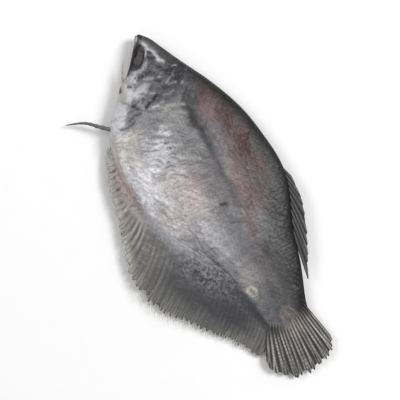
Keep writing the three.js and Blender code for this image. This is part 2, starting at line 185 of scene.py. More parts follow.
# The slits are dug, and painted shade darkens them
SLITS = (
    (0.6, -0.4, 0.9, ((19.9, -3.3), (20.6, -5), (21.2, -6.8), (21.7, -7.9))),
    (0.42, -0.22, 0.7, ((16.8, 0.6), (16.2, -0.9))),
    (0.42, -0.22, 0.7, ((19.1, 1), (18.7, -0.4))),
    (0.5, -0.25, 0.7, ((14.6, 2.8), (13.6, 1.5))),
    (0.42, -0.22, 0.7, ((12.8, 1.6), (12.1, 0.2))),
    (0.45, -0.22, 0.75, ((12.5, -3.1), (12.4, -1.6), (13.2, -0.9))),
    (0.5, -0.25, 0.7, ((13.4, -5.3), (12.7, -4.6))),
    (0.5, -0.2, 0.5, ((19.5, -11), (19.3, -13.4))),
    (0.45, -0.2, 0.55, ((20.8, -10.8), (20.5, -13.8))),
    (0.5, -0.22, 0.6, ((22.5, -10.3), (22.2, -12.4), (23, -14.4))),
    (0.45, -0.3, 0.7, ((24, -13.4), (24.5, -15.6), (24, -18.3))),
    (0.5, -0.22, 0.8, ((13.9, -9.3), (13.4, -9.9))),
    (0.42, -0.3, 0.8, ((7.2, 1), (6.6, 0.3))),
    (0.55, -0.22, 0.8, ((8.9, 1), (8.1, -0.2))),
    (0.6, -0.5, 1.0, ((10.2, -10.9), (11, -12.1), (12.3, -12.8), (13.3, -12.7))),
    (0.3, -0.3, 0.8, ((0.2, 0.4), (1.4, -0.3), (2.5, -1.4), (3.1, -2.4))),
    (0.7, -0.12, 0.9, ((3, -1.2), (4.6, -2.9), (6.4, -4.9), (8, -6.4), (9.6, -8.3))),
    (0.45, -0.3, 1.0, ((1.3, 0.5), (1.5, 0.3))),
    (0.4, -0.25, 0.75, ((35.9, -4.9), (35.5, -6))),
    (0.34, -0.25, 0.7, ((36.2, -6.9), (35.9, -7.8))),
    (0.4, -0.2, 0.5, ((29.2, -8.1), (28.8, -8.9))),
    (0.42, -0.15, 0.35, ((38.3, -3), (38.5, -7))),
    (0.4, -0.3, 0.85, ((59.4, -0.1), (58.7, -1.6))),
    (0.45, -0.25, 0.5, ((45.4, -24.4), (49.4, -24.1), (51.6, -23.4), (54, -22.3))),
    (0.42, -0.3, 0.85, ((70.4, -15), (74, -13.9), (77.6, -12.2), (81, -10.5))),
    (0.36, -0.2, 0.42, ((71.6, -12.2), (75, -11), (79.4, -9.4), (83, -8.6))),
    (0.36, -0.15, 0.4, ((66.4, -12), (69.6, -10.6), (73, -9.6))),
    (0.4, -0.2, 0.3, ((61, -13.8), (65, -13), (68.4, -12.9))),
    (0.4, -0.2, 0.4, ((62.6, 7.2), (63.6, 5))),
    (0.34, -0.2, 0.35, ((60.6, 8), (61.8, 5.4))),
)
# Folds in the silver skin: raised, with painted highlight along their crests
SILVER_FOLDS = (
    (0.5, 0.3, 0.9, ((47.6, -18.2), (49.2, -17), (52.4, -15.8))),
    (0.45, 0.26, 0.7, ((52.8, -17.7), (54.6, -16.7), (57.4, -16.8))),
    (0.4, 0.28, 0.7, ((58.3, -16), (58.5, -18.6))),
    (0.45, 0.28, 0.7, ((56.4, -20.9), (57.6, -20.2))),
    (0.42, 0.3, 0.9, ((37.5, -20.4), (37.2, -22.6))),
    (1.2, 0.3, 0.8, ((38.4, -19.8), (41, -20), (44, -20.4))),
    (0.8, 0.2, 0.4, ((39, -21.4), (41, -21.7))),
    (0.4, 0.2, 0.6, ((33.9, -8.6), (33.7, -10.6), (33.9, -12.9))),
    (0.6, 0.2, 0.7, ((36.6, -8.6), (36, -11), (34.6, -14.4))),
    (0.4, 0.18, 0.6, ((30.6, -12.4), (31.2, -14.6))),
    (0.5, 0.15, 0.35, ((43.4, -0.8), (41.6, -3.4), (40.2, -6))),
    (0.4, 0.22, 0.55, ((62.4, -20.4), (64.8, -20.2), (66.8, -18.8))),
    (0.36, 0.2, 0.5, ((68.4, -14.1), (71, -13.2), (73.4, -12.6))),
    (0.36, 0.22, 0.5, ((76, -10.9), (78.4, -10.5), (80.6, -9.4))),
    (0.4, 0.12, 0.35, ((62.8, 3.4), (65.2, 3.3))),
    (0.8, 0.15, 0.4, ((62, -19.5), (65.6, -15.4))),
)

# Patches of colour: middle, reach along and across, degrees of turn, strength
PATCHES = {
    "silver": (
        ((37.5, -13), (8, 5), -50, 0.5), ((32, -8.4), (3.2, 2), -50, 0.75),
        ((41.4, -8), (4, 2.6), -60, 0.35), ((16.6, -7.6), (3.4, 2.2), -70, 0.6),
        ((11.4, -6.6), (2, 1.6), -45, 0.8), ((26.6, -21.2), (3.2, 2.2), -18, 0.9),
        ((20.6, -9), (1.6, 1.6), 0, 0.4), ((41, -19.4), (9.5, 4), -3, 1.0),
        ((36, -21.8), (4.6, 2.2), -8, 1.0), ((64, -18.4), (6, 2.4), 28, 0.5),
        ((54.5, -19.6), (9, 3.8), 14, 0.85), ((29, -21), (7, 2.6), -16, 0.95),
        ((48, -14.6), (7, 4), 8, 0.75), ((66, -8), (10, 3.6), 8, 0.3),
        ((20, -17.4), (6, 3.4), -48, 0.75), ((61, -13), (7, 4), 20, 0.3),
    ),
    "blush": (
        ((52, -9), (9, 7), 0, 0.8), ((55.4, -16.2), (5.4, 3.4), 8, 0.85),
        ((28.6, -22.6), (5, 1.8), -18, 0.7),
    ),
    "cream": (
        ((30.4, -17.8), (5, 3.2), -30, 0.75), ((28.5, -21.4), (5, 2.4), -18, 0.35),
        ((15.6, -12.4), (3.4, 1.6), -40, 0.6), ((84, -5), (6, 2.2), 5, 0.25),
        ((52.4, 7), (5, 2), 0, 0.45),
    ),
    "rose": (
        ((30.6, 9.4), (7, 2.8), 10, 0.85), ((58.6, 7), (7.6, 3.2), -5, 0.6),
        ((69, 3.8), (7, 1.8), -4, 0.5), ((28, -20.6), (5, 1.6), -18, 0.12),
        ((48.5, -3.8), (5, 4), 0, 0.25), ((47, 10), (14, 3.4), 2, 0.7),
        ((20, 8.4), (4, 1.4), 27, 0.6),
    ),
    "rust": (
        ((43, 14.4), (23, 5.2), 4, 1.0), ((31, 13.4), (11, 3.2), 24, 0.95),
        ((50, 16.2), (12, 3.4), 0, 0.85), ((22, 9.8), (7, 1.6), 28, 0.6),
        ((61, 11.5), (8, 3), -8, 0.5), ((101, 1.8), (4, 2.8), 0, 0.4),
    ),
    "plum": (
        ((38, 6.4), (11, 3.2), 4, 0.75), ((81, 1.5), (11, 3), 0, 0.5),
        ((56.4, -0.8), (6.4, 3), 0, 0.55), ((53, 3), (14, 2.2), 0, 0.6),
    ),
    "dusk": (
        ((52, 18.4), (11, 2.4), 0, 1.0), ((35.6, 16), (6, 2), 8, 0.8),
        ((68, 14.5), (12, 5.4), -16, 0.95), ((85, 9.4), (15, 5), -14, 0.8),
        ((95.4, 0.6), (10, 7), 0, 0.66), ((80, 8.4), (14, 6), -13, 0.72),
        ((91, -8), (7, 2.4), 12, 0.45), ((68, -15.6), (6, 2.6), 30, 0.15),
    ),
    "ham": (
        ((38.4, -24.7), (9.4, 1.6), -3, 0.7), ((100.6, 1.8), (4.4, 2.8), 4, 0.46),
        ((12.4, -10.8), (2.6, 0.8), -32, 0.5),
    ),
    "slate": (
        ((32, 3.7), (10, 1.7), -3, 0.9), ((25, 6), (4.4, 3), 20, 0.8),
        ((16.6, 4.8), (4, 3.2), 0, 1.0), ((26.4, 3.6), (3.4, 1.6), 0, 0.8),
        ((21.4, -12), (3.6, 2.2), -30, 0.25), ((13, 5.4), (9, 1.7), 27, 0.6),
        ((21, -0.4), (2.6, 4), 0, 0.55), ((20.4, 7.6), (5, 1.7), 27, 0.6),
        ((9.4, -4.4), (1.3, 3), 20, 0.6), ((76, 5), (5, 1.2), -8, 0.35),
    ),
}
# Areas outside of which something fades: middle, reach along and across, turn
STEEP_WRINKLES = ((36, -6), (12, 12))
SLACK_WRINKLES = ((74, -12), (12, 6), radians(30))
LOOSE_FOIL = ((52, -12), (12, 8))
FLECKED = ((75.5, -14.6), (13, 5.6), radians(32))
TAIL_FLESH = ((102.4, 1.6), (4.6, 3.4))
COVERED_MIDDLE = ((78, -19.5), (15, 8.5), radians(32))  # skin over the anal fin's rays
COVERED_REAR = ((91, -13), (9, 5), radians(24))
BELOW_SILVER = ((62, -20), (11, 9), 0.4)
FRONT_TICKS = ((37, -27), (9, 1.5), radians(-14))
DARK_REAR = ((88, -16), (12, 5), 0.5)

# What runs along the fish
LATERAL_LINE = 3.3  # y
LATERAL_LINE_HALF_WIDTH = 0.95
SHADE_REACH = ((0, 2), (12, 2.6), (20, 5.4), (35, 6), (102, 6))  # x, how far from the ridge
RIDGE_DARK = (  # x, its width
    (0, 0.8), (8, 1.1), (20, 2.6), (35, 2.9), (50, 4.8), (64, 3.7), (85, 3.9), (100, 2.8),
)
THROAT = (
    (8, -6.6), (11, -7.2), (16, -8.6), (19, -11.5), (21.5, -14.6), (24, -16.2), (28, -18),
)
RING = (87.3, -5.5)  # a small ring-shaped mark near the tail
RING_RADIUS = 1.35
RING_HALF_WIDTH = 0.5
RING_HEIGHT = 0.28

NOISE_PERIOD = 64  # after so many swells the noise repeats

# Scales: their growth along the fish, and the radius where those of a row are 1 apart
SCALE_GROWTH = ((0, 0.7), (20, 0.9), (55, 1.05), (85, 0.85), (102, 0.6))
SCALE_REACH = 0.62

# Flanks, with 1 for the left one and -1 for the right one
FLANK_SEEDS = {1: 11, -1: 71}
FLANK_STEPS = {1: (470, 196), -1: (300, 120)}  # quads along and across
PRESSED_RELIEF = 0.12  # how much of the relief is left where the fish lay to dry
ROOT_BULGE = 2.6  # how far the skin's end on the tail fin is rounded out

# Materials: the skin's zones, each of which lies over those before it, and its faint casts
SKIN_ZONES = (
    "silver", "blush", "cream", "rose", "plum", "rust", "head", "dusk", "ham", "slate",
    "fleck", "ridge", "bone", "arc", "ring", "ray", "slit",
)
FIN_ZONES = ("ray", "ham", "dusk", "slate", "fleck", "slit")
CLOUD_RANGE = (0.3, 0.7)  # nearly all of a material's noise lies between these
CASTS = ((0.0028, (1.0, 0.965, 0.94)), (0.0041, (0.96, 0.975, 1.0)))  # size in metres, tint
CAST_RANGE = (0.46, 0.66)

# The stage, in metres but for the middle of the picture, which is in shares
FISH_MIDDLE = (54.5, -6.5)
PICTURE_TURN = atan2(0.8850, 0.4655)  # the snout-to-tail line runs down and to the right
FLOOR_GAP = 0.00005  # keeps the fish's flat side and the floor apart
FLOOR_HALF = 3.0
SQUARE = ((-1, -1), (1, -1), (1, 1), (-1, 1))
SENSOR_WIDTH = 36  # in millimetres, as the lens is
LAMPS = (  # name, place beside the fish's middle, size, share of the key light's power
    ("key light", (0.1, 0.9, 0.95), 0.45, 1.0),
    ("fill light", (-0.8, -0.5, 0.9), 0.5, 0.34),
)


def photo_tone(red, green, blue):
    """A colour as it looks, on the scale of 0 to 255, as Blender's linear colour."""
    return tuple(
        c / 12.92 if c <= 0.04045 else ((c + 0.055) / 1.055) ** 2.4
        for c in (red / 255, green / 255, blue / 255)
    )


def colour_prop(name, tone, description):
    return FloatVectorProperty(
        name=name,
        description=description,
        subtype="COLOR",
        size=3,
        min=0,
        max=1,
        default=photo_tone(*tone),
    )


def length_prop(name, shares, description):
    return FloatProperty(
        name=name, description=description, default=SHARE * shares, unit="LENGTH"
    )


def count_prop(name, count, description):
    return IntProperty(name=name, description=description, default=count)


class DriedFishSizes(bpy.types.PropertyGroup):
    """Sizes of what the skin and the fins show."""

    scale_length: length_prop("Scale length", 1.3, "What shows of one scale along the flank")
    scale_lift: length_prop("Scale lift", 0.085, "How far a scale's free edge stands up")
    wrinkle_height: length_prop("Wrinkle height", 0.12, "Depth of the skin's fine wrinkles")
    fin_thickness: length_prop("Fin thickness", 0.3, "The fins' membrane at its root")
    ray_height: length_prop("Ray height", 0.26, "How far a fin ray stands out on each side")
    tail_rays: count_prop("Tail rays", 17, "Rays in the tail fin")
    anal_rays: count_prop("Anal rays", 46, "Rays in the anal fin")
    dorsal_rays: count_prop("Dorsal rays", 9, "Rays in the folded dorsal fin")
    pectoral_rays: count_prop("Pectoral rays", 11, "Rays in each pectoral fin")


class DriedFishColours(bpy.types.PropertyGroup):
    """Colours of the skin's zones, the fins and the eyes."""

    flank: colour_prop("Flank", (139, 138, 140), "Middle of the flank")
    silver: colour_prop("Silver", (226, 225, 229), "Silvery skin of the lower flank")
    blush: colour_prop("Blush", (194, 184, 183), "Pinkish patch of the middle belly")
    cream: colour_prop("Cream", (201, 199, 184), "Yellowish skin behind the throat")
    ring: colour_prop("Ring", (208, 207, 188), "Small ring-shaped mark near the tail")
    arc: colour_prop("Arc", (186, 190, 182), "Pale greenish arcs on the shoulder")
    rose: colour_prop("Rose", (146, 108, 113), "Pinkish grey of the upper flank")
    rust: colour_prop("Rust", (93, 61, 55), "Red-brown of the upper flank")
    plum: colour_prop("Plum", (116, 109, 112), "Purplish grey along the lateral line")
    dusk: colour_prop("Dusk", (76, 77, 78), "Dark grey beside the back's ridge and of the rear")
    ham: colour_prop("Ham", (190, 172, 167), "Brownish pink at the fins' roots")
    head: colour_prop("Head", (106, 105, 112), "Bluish grey of the cheeks and gill plates")
    # dark mottling, and painted shade in the troughs of the wrinkles and of the cheeks' streaks
    slate: colour_prop("Slate", (58, 58, 62), "Dark mottling of the head and of the rear")
    ridge: colour_prop("Ridge", (28, 27, 29), "Ridge of the back and top of the head")
    # bare bone's own colour, and painted highlight on the brightest folds and streaks
    bone: colour_prop("Bone", (212, 213, 214), "Bare bone, and the brightest folds")
    # painted shade: the dark colour inside slits, pores and creases, and between fin rays
    slit: colour_prop("Slit", (26, 23, 25), "Inside slits, pores and creases")
    ray: colour_prop("Ray", (184, 182, 175), "Bare fin rays")
    tail_web: colour_prop("Tail web", (50, 48, 47), "Membrane between the tail's rays")
    web: colour_prop("Web", (122, 120, 118), "Membrane between the anal fin's rays")
    fleck: colour_prop("Fleck", (160, 160, 164), "Pale flecks above and on the anal fin")
    eye: colour_prop("Eye", (70, 66, 67), "Shrunken eyeball")
    thread: colour_prop("Thread", (102, 98, 96), "Pelvic threads")
    spine: colour_prop("Spine", (168, 152, 140), "Thin bone at the throat")


class DriedFishStage(bpy.types.PropertyGroup):
    """The floor, the lights and the camera."""

    floor: colour_prop("Floor", (251, 251, 251), "Plain pale floor")
    key_power: FloatProperty(
        name="Key light", description="Power of the main soft light", default=11.5, unit="POWER"
    )
    fill: FloatProperty(name="Fill", description="Brightness of the surroundings", default=0.44)
    lens: FloatProperty(name="Lens", description="Focal length", default=100.0, unit="CAMERA")
    view_height: length_prop("View height", 126, "How much the picture shows, top to bottom")


# Curves, noise and lines


def through(keys, x, column=1):
    """A smooth curve through the keys, read at x, held level past both ends."""
    keys = np.asarray(keys, float)
    at, value = keys[:, 0], keys[:, column]
    x = np.clip(x, at[0], at[-1])
    i = np.clip(np.searchsorted(at, x, side="right") - 1, 0, len(at) - 2)
    before = np.maximum(i - 1, 0)
    after = np.minimum(i + 2, len(at) - 1)
    start = (value[i + 1] - value[before]) / (at[i + 1] - at[before])
    stop = (value[after] - value[i]) / (at[after] - at[i])
    span = at[i + 1] - at[i]
    t = (x - at[i]) / span
    level = value[i] * (1 + 2 * t) * (1 - t) ** 2 + value[i + 1] * t * t * (3 - 2 * t)
    return level + span * (start * t * (1 - t) ** 2 + stop * t * t * (t - 1))


def ramp(value, start, stop):
    """0 up to start, 1 from stop on, and a smooth rise between."""
    t = np.clip((value - start) / (stop - start), 0, 1)
    return t * t * (3 - 2 * t)


def bell(distance, half_width):
    """1 where the distance is 0, falling softly to 0 past the half-width."""
    return np.exp(-((distance / half_width) ** 2))


def turned(x, y, centre, turn):
    """How far each place lies from the centre, along and across a line that is turned."""
    dx, dy = x - centre[0], y - centre[1]
    return dx * cos(turn) + dy * sin(turn), dy * cos(turn) - dx * sin(turn)


def noise(x, y, seed):
    """Smooth noise from -1 to 1, with swells about one unit across."""
    table = np.random.default_rng(seed).uniform(-1, 1, (NOISE_PERIOD, NOISE_PERIOD))
    column, row = np.floor(x).astype(int), np.floor(y).astype(int)
    u, v = ramp(x - column, 0, 1), ramp(y - row, 0, 1)

    def corner(i, j):
        return table[(column + i) % NOISE_PERIOD, (row + j) % NOISE_PERIOD]

    low = corner(0, 0) * (1 - u) + corner(1, 0) * u
    high = corner(0, 1) * (1 - u) + corner(1, 1) * u
    return low * (1 - v) + high * v


def cloud(x, y, seed, octaves=3):
    """Noise with finer noise on it, from about -1 to 1."""
    total, weight = 0, 0
    for octave in range(octaves):
        along, across = turned(x, y, (0, 0), 0.7 + 1.3 * octave)
        scale, share = 2.03**octave, 0.55**octave
        finer = noise(along * scale + 17.3 * octave, across * scale, seed + octave)
        total = total + share * finer
        weight += share
    return total / weight


def grain(x, y, slope, length, width, seed, octaves=2):
    """Noise drawn out into streaks of that length and width that run at that slope."""
    along, across = turned(x, y, (0, 0), slope)
    return cloud(along / length, across / width, seed, octaves)


def crumple(x, y, seed):
    """Creased noise from -1 to 1, whose crests are sharp as in crumpled foil."""
    return 1 - 2.6 * np.abs(cloud(x, y, seed))


def wandering(x, y, far, swell, seed):
    """The places, each moved by up to about that far, so that what is drawn is uneven."""
    return (
        x + far * cloud(x / swell, y / swell, seed),
        y + far * cloud(x / swell, y / swell, seed + 1),
    )


def drawn(x, y, half_width, points):
    """1 on a line through the points, and 0 a little way beside it."""
    nearest = np.full(np.shape(x), np.inf)
    for (x1, y1), (x2, y2) in zip(points[:-1], points[1:]):
        dx, dy = x2 - x1, y2 - y1
        t = np.clip(((x - x1) * dx + (y - y1) * dy) / (dx * dx + dy * dy), 0, 1)
        nearest = np.minimum(nearest, np.hypot(x - x1 - t * dx, y - y1 - t * dy))
    return bell(nearest, half_width)


def lines(x, y, drawings):
    """The relief of all of these lines, and where they are, from 0 to 1."""
    relief, where = np.zeros(x.shape), np.zeros(x.shape)
    for half_width, height, strength, points in drawings:
        line = drawn(x, y, half_width, points)
        relief += height * line
        where = np.maximum(where, strength * line)
    return relief, where


def patch(x, y, centre, reach, turn=0.0):
    """1 in the middle of an oval, falling softly to 0 outside it."""
    along, across = turned(x, y, centre, turn)
    return np.exp(-(((along / reach[0]) ** 2 + (across / reach[1]) ** 2) ** 1.25))


# The body's shape


def swell(x, y):
    """Ribs and shallow dips that show through the skin, added to a flank's rise."""
    ribs = RIB_HEIGHT * np.sin(x * 0.52 + y * 0.31) * np.sin(y * 0.27 + 1.3)
    return ribs + DIP_HEIGHT * np.sin(x * 0.21 - y * 0.44 + 0.6)


def roundness(x, y):
    """How far a flank has fallen away, from 1 on its crest to 0 at the fish's edge."""
    crest, back, belly = through(FLANK, x), through(BACK, x), through(BELLY, x)
    edge = np.where(y > crest, back, belly)
    out = np.minimum(1, np.abs((y - crest) / (edge - crest)))
    side = np.where(y > crest, BACK_SIDE, BELLY_SIDE)
    return (1 - out ** through(SHOULDER, x)) ** side


def upper_skin(x, y):
    rise = through(UPPER_FLANK, x) + swell(x, y)
    return through(EDGE_HEIGHT, x) + rise * roundness(x, y)


def lower_skin(x, y):
    depth = through(UPPER_FLANK, x) * LOWER_FLANK_SHARE + swell(x, y)
    return through(EDGE_HEIGHT, x) - depth * roundness(x, y)


def out_of_eye(x, y):
    """How far out of the eye's middle a place lies, where 1 is the socket's edge."""
    along, across = turned(x, y, EYE, EYE_TURN)
    return np.hypot(along / EYE_REACH[0], across / EYE_REACH[1])


# The skin's relief and colours


def scale_rows(x, y, length):
    """For each place, how far it lies from its scale's free edge, and a number from 0 to 1
    that is the scale's own. Each scale lies over the one behind it."""
    steps = np.linspace(0, 125, 400)
    size = 2 * length * through(SCALE_GROWTH, steps)
    count = np.concatenate([[0], np.cumsum(np.diff(steps) * 2 / (size[1:] + size[:-1]))])
    u = np.interp(x, steps, count)
    v = (y - 1) / np.interp(x, steps, size)
    front = np.full(u.shape, np.inf)
    edge = np.zeros(u.shape)
    own = np.zeros(u.shape)
    middle_row = np.round(2 * v)
    for step in (-1, 0, 1):
        row = middle_row + step
        reach = np.sqrt(np.maximum(SCALE_REACH**2 - (v - row / 2) ** 2, 0))
        shift = (row % 2) / 2
        centre = np.ceil(u - reach - shift) + shift
        covers = (centre <= u + reach) & (reach > 0) & (centre < front)
        front = np.where(covers, centre, front)
        edge = np.where(covers, centre + reach - u, edge)
        own = np.where(covers, np.sin(centre * 12.99 + row * 78.23) * 437.58 % 1, own)
    return edge, own


def flecking(x, y):
    """Slanting flecks over the flank's lower rear and the anal fin: where they are pale, and
    where they are dark."""
    where = patch(x, y, *FLECKED)
    fleck = grain(x, y, radians(50), 0.9, 0.4, 39) + 0.5 * cloud(x / 0.3, y / 0.3, 40)
    return 0.62 * where * ramp(fleck, -0.5, 0.6), 0.4 * where * ramp(-fleck, 0, 0.6)


class Skin:
    """One flank's skin over a grid of places: its relief in shares, and its zones of colour
    from 0 to 1. Outwards is 1 for the left flank, which lies uppermost, and -1 for the
    right."""

    def __init__(self, x, y, sizes, outwards):
        seed = FLANK_SEEDS[outwards]
        self.x, self.y, self.seed = x, y, seed
        self.back, self.belly = through(BACK, x), through(BELLY, x)
        self.near = wandering(x, y, 0.5, 2.2, seed + 1)
        self.far = wandering(x, y, 1.8, 5, seed + 3)
        self.line = wandering(x, y, 0.3, 0.9, seed + 5)
        self.speck = cloud(x / 0.5, y / 0.5, seed + 13, 2)
        self.blotch = cloud(x / 2.4, y / 2.4, seed + 14)
        self.broken = 0.75 + 0.5 * cloud(x / 1.1, y / 1.1, seed + 15)
        self.silver_belly = ramp(-y, 13, 19) * ramp(x, 30, 38) * ramp(-x, -78, -66)
        self.relief = 0.14 * self.blotch + 0.04 * self.speck
        self.zones = {}
        self.add_gill_plate()
        self.add_lines()
        self.add_lateral_line()
        self.add_ring(outwards)
        self.add_eye_socket()
        self.add_wrinkles(sizes)
        self.add_scales(sizes)
        self.add_patches()
        self.add_head()
        self.add_flecks()
        self.add_back()
        self.zones = {zone: np.clip(cover, 0, 1) for zone, cover in self.zones.items()}

    def strengthen(self, zone, *covers):
        """Lays more of a zone's colour, where it isn't as strong already."""
        self.zones[zone] = np.maximum.reduce([self.zones.get(zone, 0 * self.x), *covers])

    def add_gill_plate(self):
        """The plate over the gills, the gap behind it and the ridge in front of it."""
        x, y = self.near
        inside = through(GILL_REAR, y) - x
        front = x - through(GILL_FRONT, y)
        ends = ramp(y, -15.4, -13.4) * ramp(-y, -6.6, -5.2)
        plate = ramp(inside, 0, 0.4) * ramp(front, -0.6, 3.5) * ends
        gap = bell(inside + 0.3, 0.4) * ends * np.clip(self.broken, 0, 1)
        self.relief += 0.4 * plate - 0.15 * gap + 0.25 * drawn(x, y, 0.7, CHEEK_RIDGE)
        # painted shade darkens the gap behind the plate
        self.strengthen("slit", 0.3 * gap)
        self.on_body = np.maximum.reduce([
            ramp(-inside, 0.2, 1.6) * ends,
            ramp(self.x, 20, 24),
            ramp(self.x + 1.2 * self.y, 25, 29) * ramp(self.y, 4.5, 6.5),
        ])
        self.head = (1 - self.on_body) * ramp(self.x, 1, 4)

    def add_lines(self):
        for zone, drawings, level, swing in (
            ("bone", BONES, 0, 1),
            # painted highlight along the folds' crests
            ("bone", SILVER_FOLDS, 0, 1),
            ("arc", SHOULDER_ARCS, 0, 1),
            # painted shade inside the slits' dug lines
            ("slit", SLITS, 0.7, 0.3),
        ):
            relief, where = lines(*self.line, drawings)
            self.relief += relief
            self.strengthen(zone, where * (level + swing * self.broken))

    def add_lateral_line(self):
        x = self.x
        off = self.near[1] - LATERAL_LINE - 0.3 * np.sin(x / 6)
        line = bell(off, LATERAL_LINE_HALF_WIDTH) * self.broken
        line *= ramp(x, 24, 28) * (0.25 + 0.75 * ramp(-x, -66, -36)) * ramp(-x, -97, -85)
        self.relief -= 0.12 * line
        self.strengthen("slate", 0.85 * line)

    def add_ring(self, outwards):
        """The ring-shaped mark, which only the left flank has."""
        dx, dy = self.line[0] - RING[0], self.line[1] - RING[1]
        bearing = np.arctan2(dy, dx)
        uneven = 1 + 0.14 * np.sin(2 * bearing + 1) + 0.08 * np.sin(5 * bearing)
        ring = bell(np.hypot(dx, dy) - RING_RADIUS * uneven, RING_HALF_WIDTH)
        ring *= (0.7 + 0.3 * np.cos(bearing - 2.8)) * (outwards > 0)
        self.relief += RING_HEIGHT * ring
        self.strengthen("ring", ring * (0.7 + 0.3 * self.broken))

    def add_eye_socket(self):
        """The socket's rim, with painted shadow inside, darkest at its front and lower side."""
        out = out_of_eye(*self.near)
        across = turned(self.x, self.y, EYE, EYE_TURN)[1]
        dark = 0.15 + 0.8 * ramp(-across, -0.5, 0.7)
        self.relief += 0.08 * bell(out - 1.14, 0.12)
        self.strengthen("slit", ramp(-out, -1.08, -0.9) * dark)

    def add_wrinkles(self, sizes):
        """Steep behind the gills, level low on the belly, crumpled in the silver skin."""
        x, y, seed, silver = self.x, self.y, self.seed, self.silver_belly
        near_x, near_y = self.near
        steep = grain(*self.far, radians(64), 3.2, 0.55, seed + 8)
        level = grain(*self.far, radians(6), 2.4, 0.6, seed + 9)
        slack = grain(*self.far, radians(48), 1.6, 0.6, seed + 10)
        foil = 0.55 * crumple(near_x / 3.4, near_y / 2.4, seed + 16)
        foil += 0.75 * grain(near_x, near_y, radians(32), 2.6, 1.0, seed + 18)
        front = patch(x, y, *STEEP_WRINKLES)
        rear = patch(x, y, *SLACK_WRINKLES)
        above = ramp(y, 1, 8) * ramp(x, 22, 30)
        wrinkle = steep * (0.3 + 0.7 * front) * (1 - silver) * (1 - 0.5 * above)
        wrinkle += 0.7 * level * np.maximum(silver, above) + 0.6 * slack * rear
        self.relief += sizes.wrinkle_height / SHARE * wrinkle * self.on_body
        self.relief += 0.42 * foil * np.maximum(silver, 0.55 * patch(x, y, *LOOSE_FOIL))
        # painted shade in the troughs of the steep, slack and level wrinkles
        self.strengthen(
            "slate",
            0.58 * ramp(-steep, 0.25, 0.65) * np.maximum(front, 0.4 * self.on_body),
            0.55 * ramp(-slack - 0.3 * foil, 0.1, 0.6) * rear,
            0.4 * ramp(-level, 0.25, 0.7) * above,
        )
        self.creases = 0.3 * foil + 0.5 * wrinkle
        self.ragged = 0.34 * self.blotch + 0.12 * self.speck + 0.16 * wrinkle
        # painted highlight: more silver on the crests of the steep wrinkles behind the gills
        self.painted_silver_glint = 0.2 * ramp(steep, 0.15, 0.6) * front
        # painted highlight: the silver and the blush show more on the crumples' crests, while
        # near the tail the level wrinkles break up the ham
        self.wear_and_gleam = {  # what the wrinkles leave of some zones' patches
            "silver": 0.68 + 0.6 * ramp(foil + 0.4 * wrinkle, -0.5, 0.7),
            "blush": 0.8 + 0.4 * ramp(foil, -0.4, 0.6),
            "ham": np.where(x > 85, np.clip(0.55 + 0.9 * level, 0, 1), 1),
        }

    def add_scales(self, sizes):
        x, y = self.x, self.y
        swayed = x + 0.08 * cloud(x, y, self.seed)
        edge, own = scale_rows(swayed, y, sizes.scale_length / SHARE)
        rise = np.clip(1 - edge / 0.5, 0, 1)
        wear_and_gleam = ramp(cloud(x / 4, y / 4, self.seed + 7), -0.5, 0.1)
        scaly = self.on_body * (0.3 + 0.7 * wear_and_gleam) * (1 - 0.6 * self.silver_belly)
        scaly *= ramp(y - self.belly, 0.4, 3) * ramp(self.back - y, 0.3, 1.5)
        scaly *= ramp(-x, -101, -96)
        self.relief += sizes.scale_lift / SHARE * (rise - 0.4) * scaly
        # painted shade: a dark line along each scale's raised free edge
        self.strengthen("slit", 0.28 * ramp(-edge, -0.12, -0.02) * scaly)
        self.zones["scale"] = own * scaly
        # painted highlight: glints on the specks, on the crests of the wrinkles and crumples,
        # and on the scales' raised free edges
        self.zones["painted_glints"] = ramp(self.speck + self.creases + 0.5 * rise * scaly, 0.6, 1.3)

    def add_patches(self):
        """Patches of colour with ragged edges."""
        for zone, patches in PATCHES.items():
            # painted highlight for the silver and the blush, on the crumples' crests
            kept = self.wear_and_gleam.get(zone, 1)
            for middle, reach, turn, strength in patches:
                spot = patch(*self.far, middle, reach, radians(turn))
                spot = ramp(spot + self.ragged * ramp(spot, 0, 0.3), 0, 1)
                self.strengthen(zone, strength * spot * kept)
        # painted highlight on the steep wrinkles' crests
        self.zones["silver"] += self.painted_silver_glint

    def add_head(self):
        """Streaked cheeks with painted highlight on crests, painted shadow in troughs, and the
        paler throat.
        """
        x, y, head = self.x, self.y, self.head
        streaky = 0.6 * grain(*self.near, radians(-66), 1.9, 0.6, self.seed + 17)
        streaky += 0.6 * grain(*self.near, radians(58), 1.6, 0.55, self.seed)
        self.relief += 0.22 * streaky * head
        throat = through(THROAT, self.near[0]) - self.near[1]
        throat = ramp(throat, -0.4, 1.4) * ramp(-x, -28, -24)
        bluish = 0.92 * head * ramp(y + 0.9 * x, -5.5, 0) * (1 - 0.9 * throat)
        self.zones["head"] = bluish * (1 - 0.85 * self.zones["silver"])
        self.strengthen("silver", 0.75 * throat * ramp(x, 9, 13))
        # painted highlight on the streaks' crests
        self.strengthen("bone", 0.5 * ramp(streaky, 0.25, 0.65) * head * ramp(x, 7, 11))
        shadows = ramp(-streaky, 0, 0.45) * head * ramp(x, 6, 10)
        # painted shadow in the streaks' troughs
        self.strengthen("slate", 0.7 * shadows * (1 - 0.75 * throat))

    def add_flecks(self):
        pale, dark = flecking(*self.near)
        self.zones["fleck"] = 0.5 * pale * ramp(self.x, 62, 72)
        self.strengthen("slate", dark)

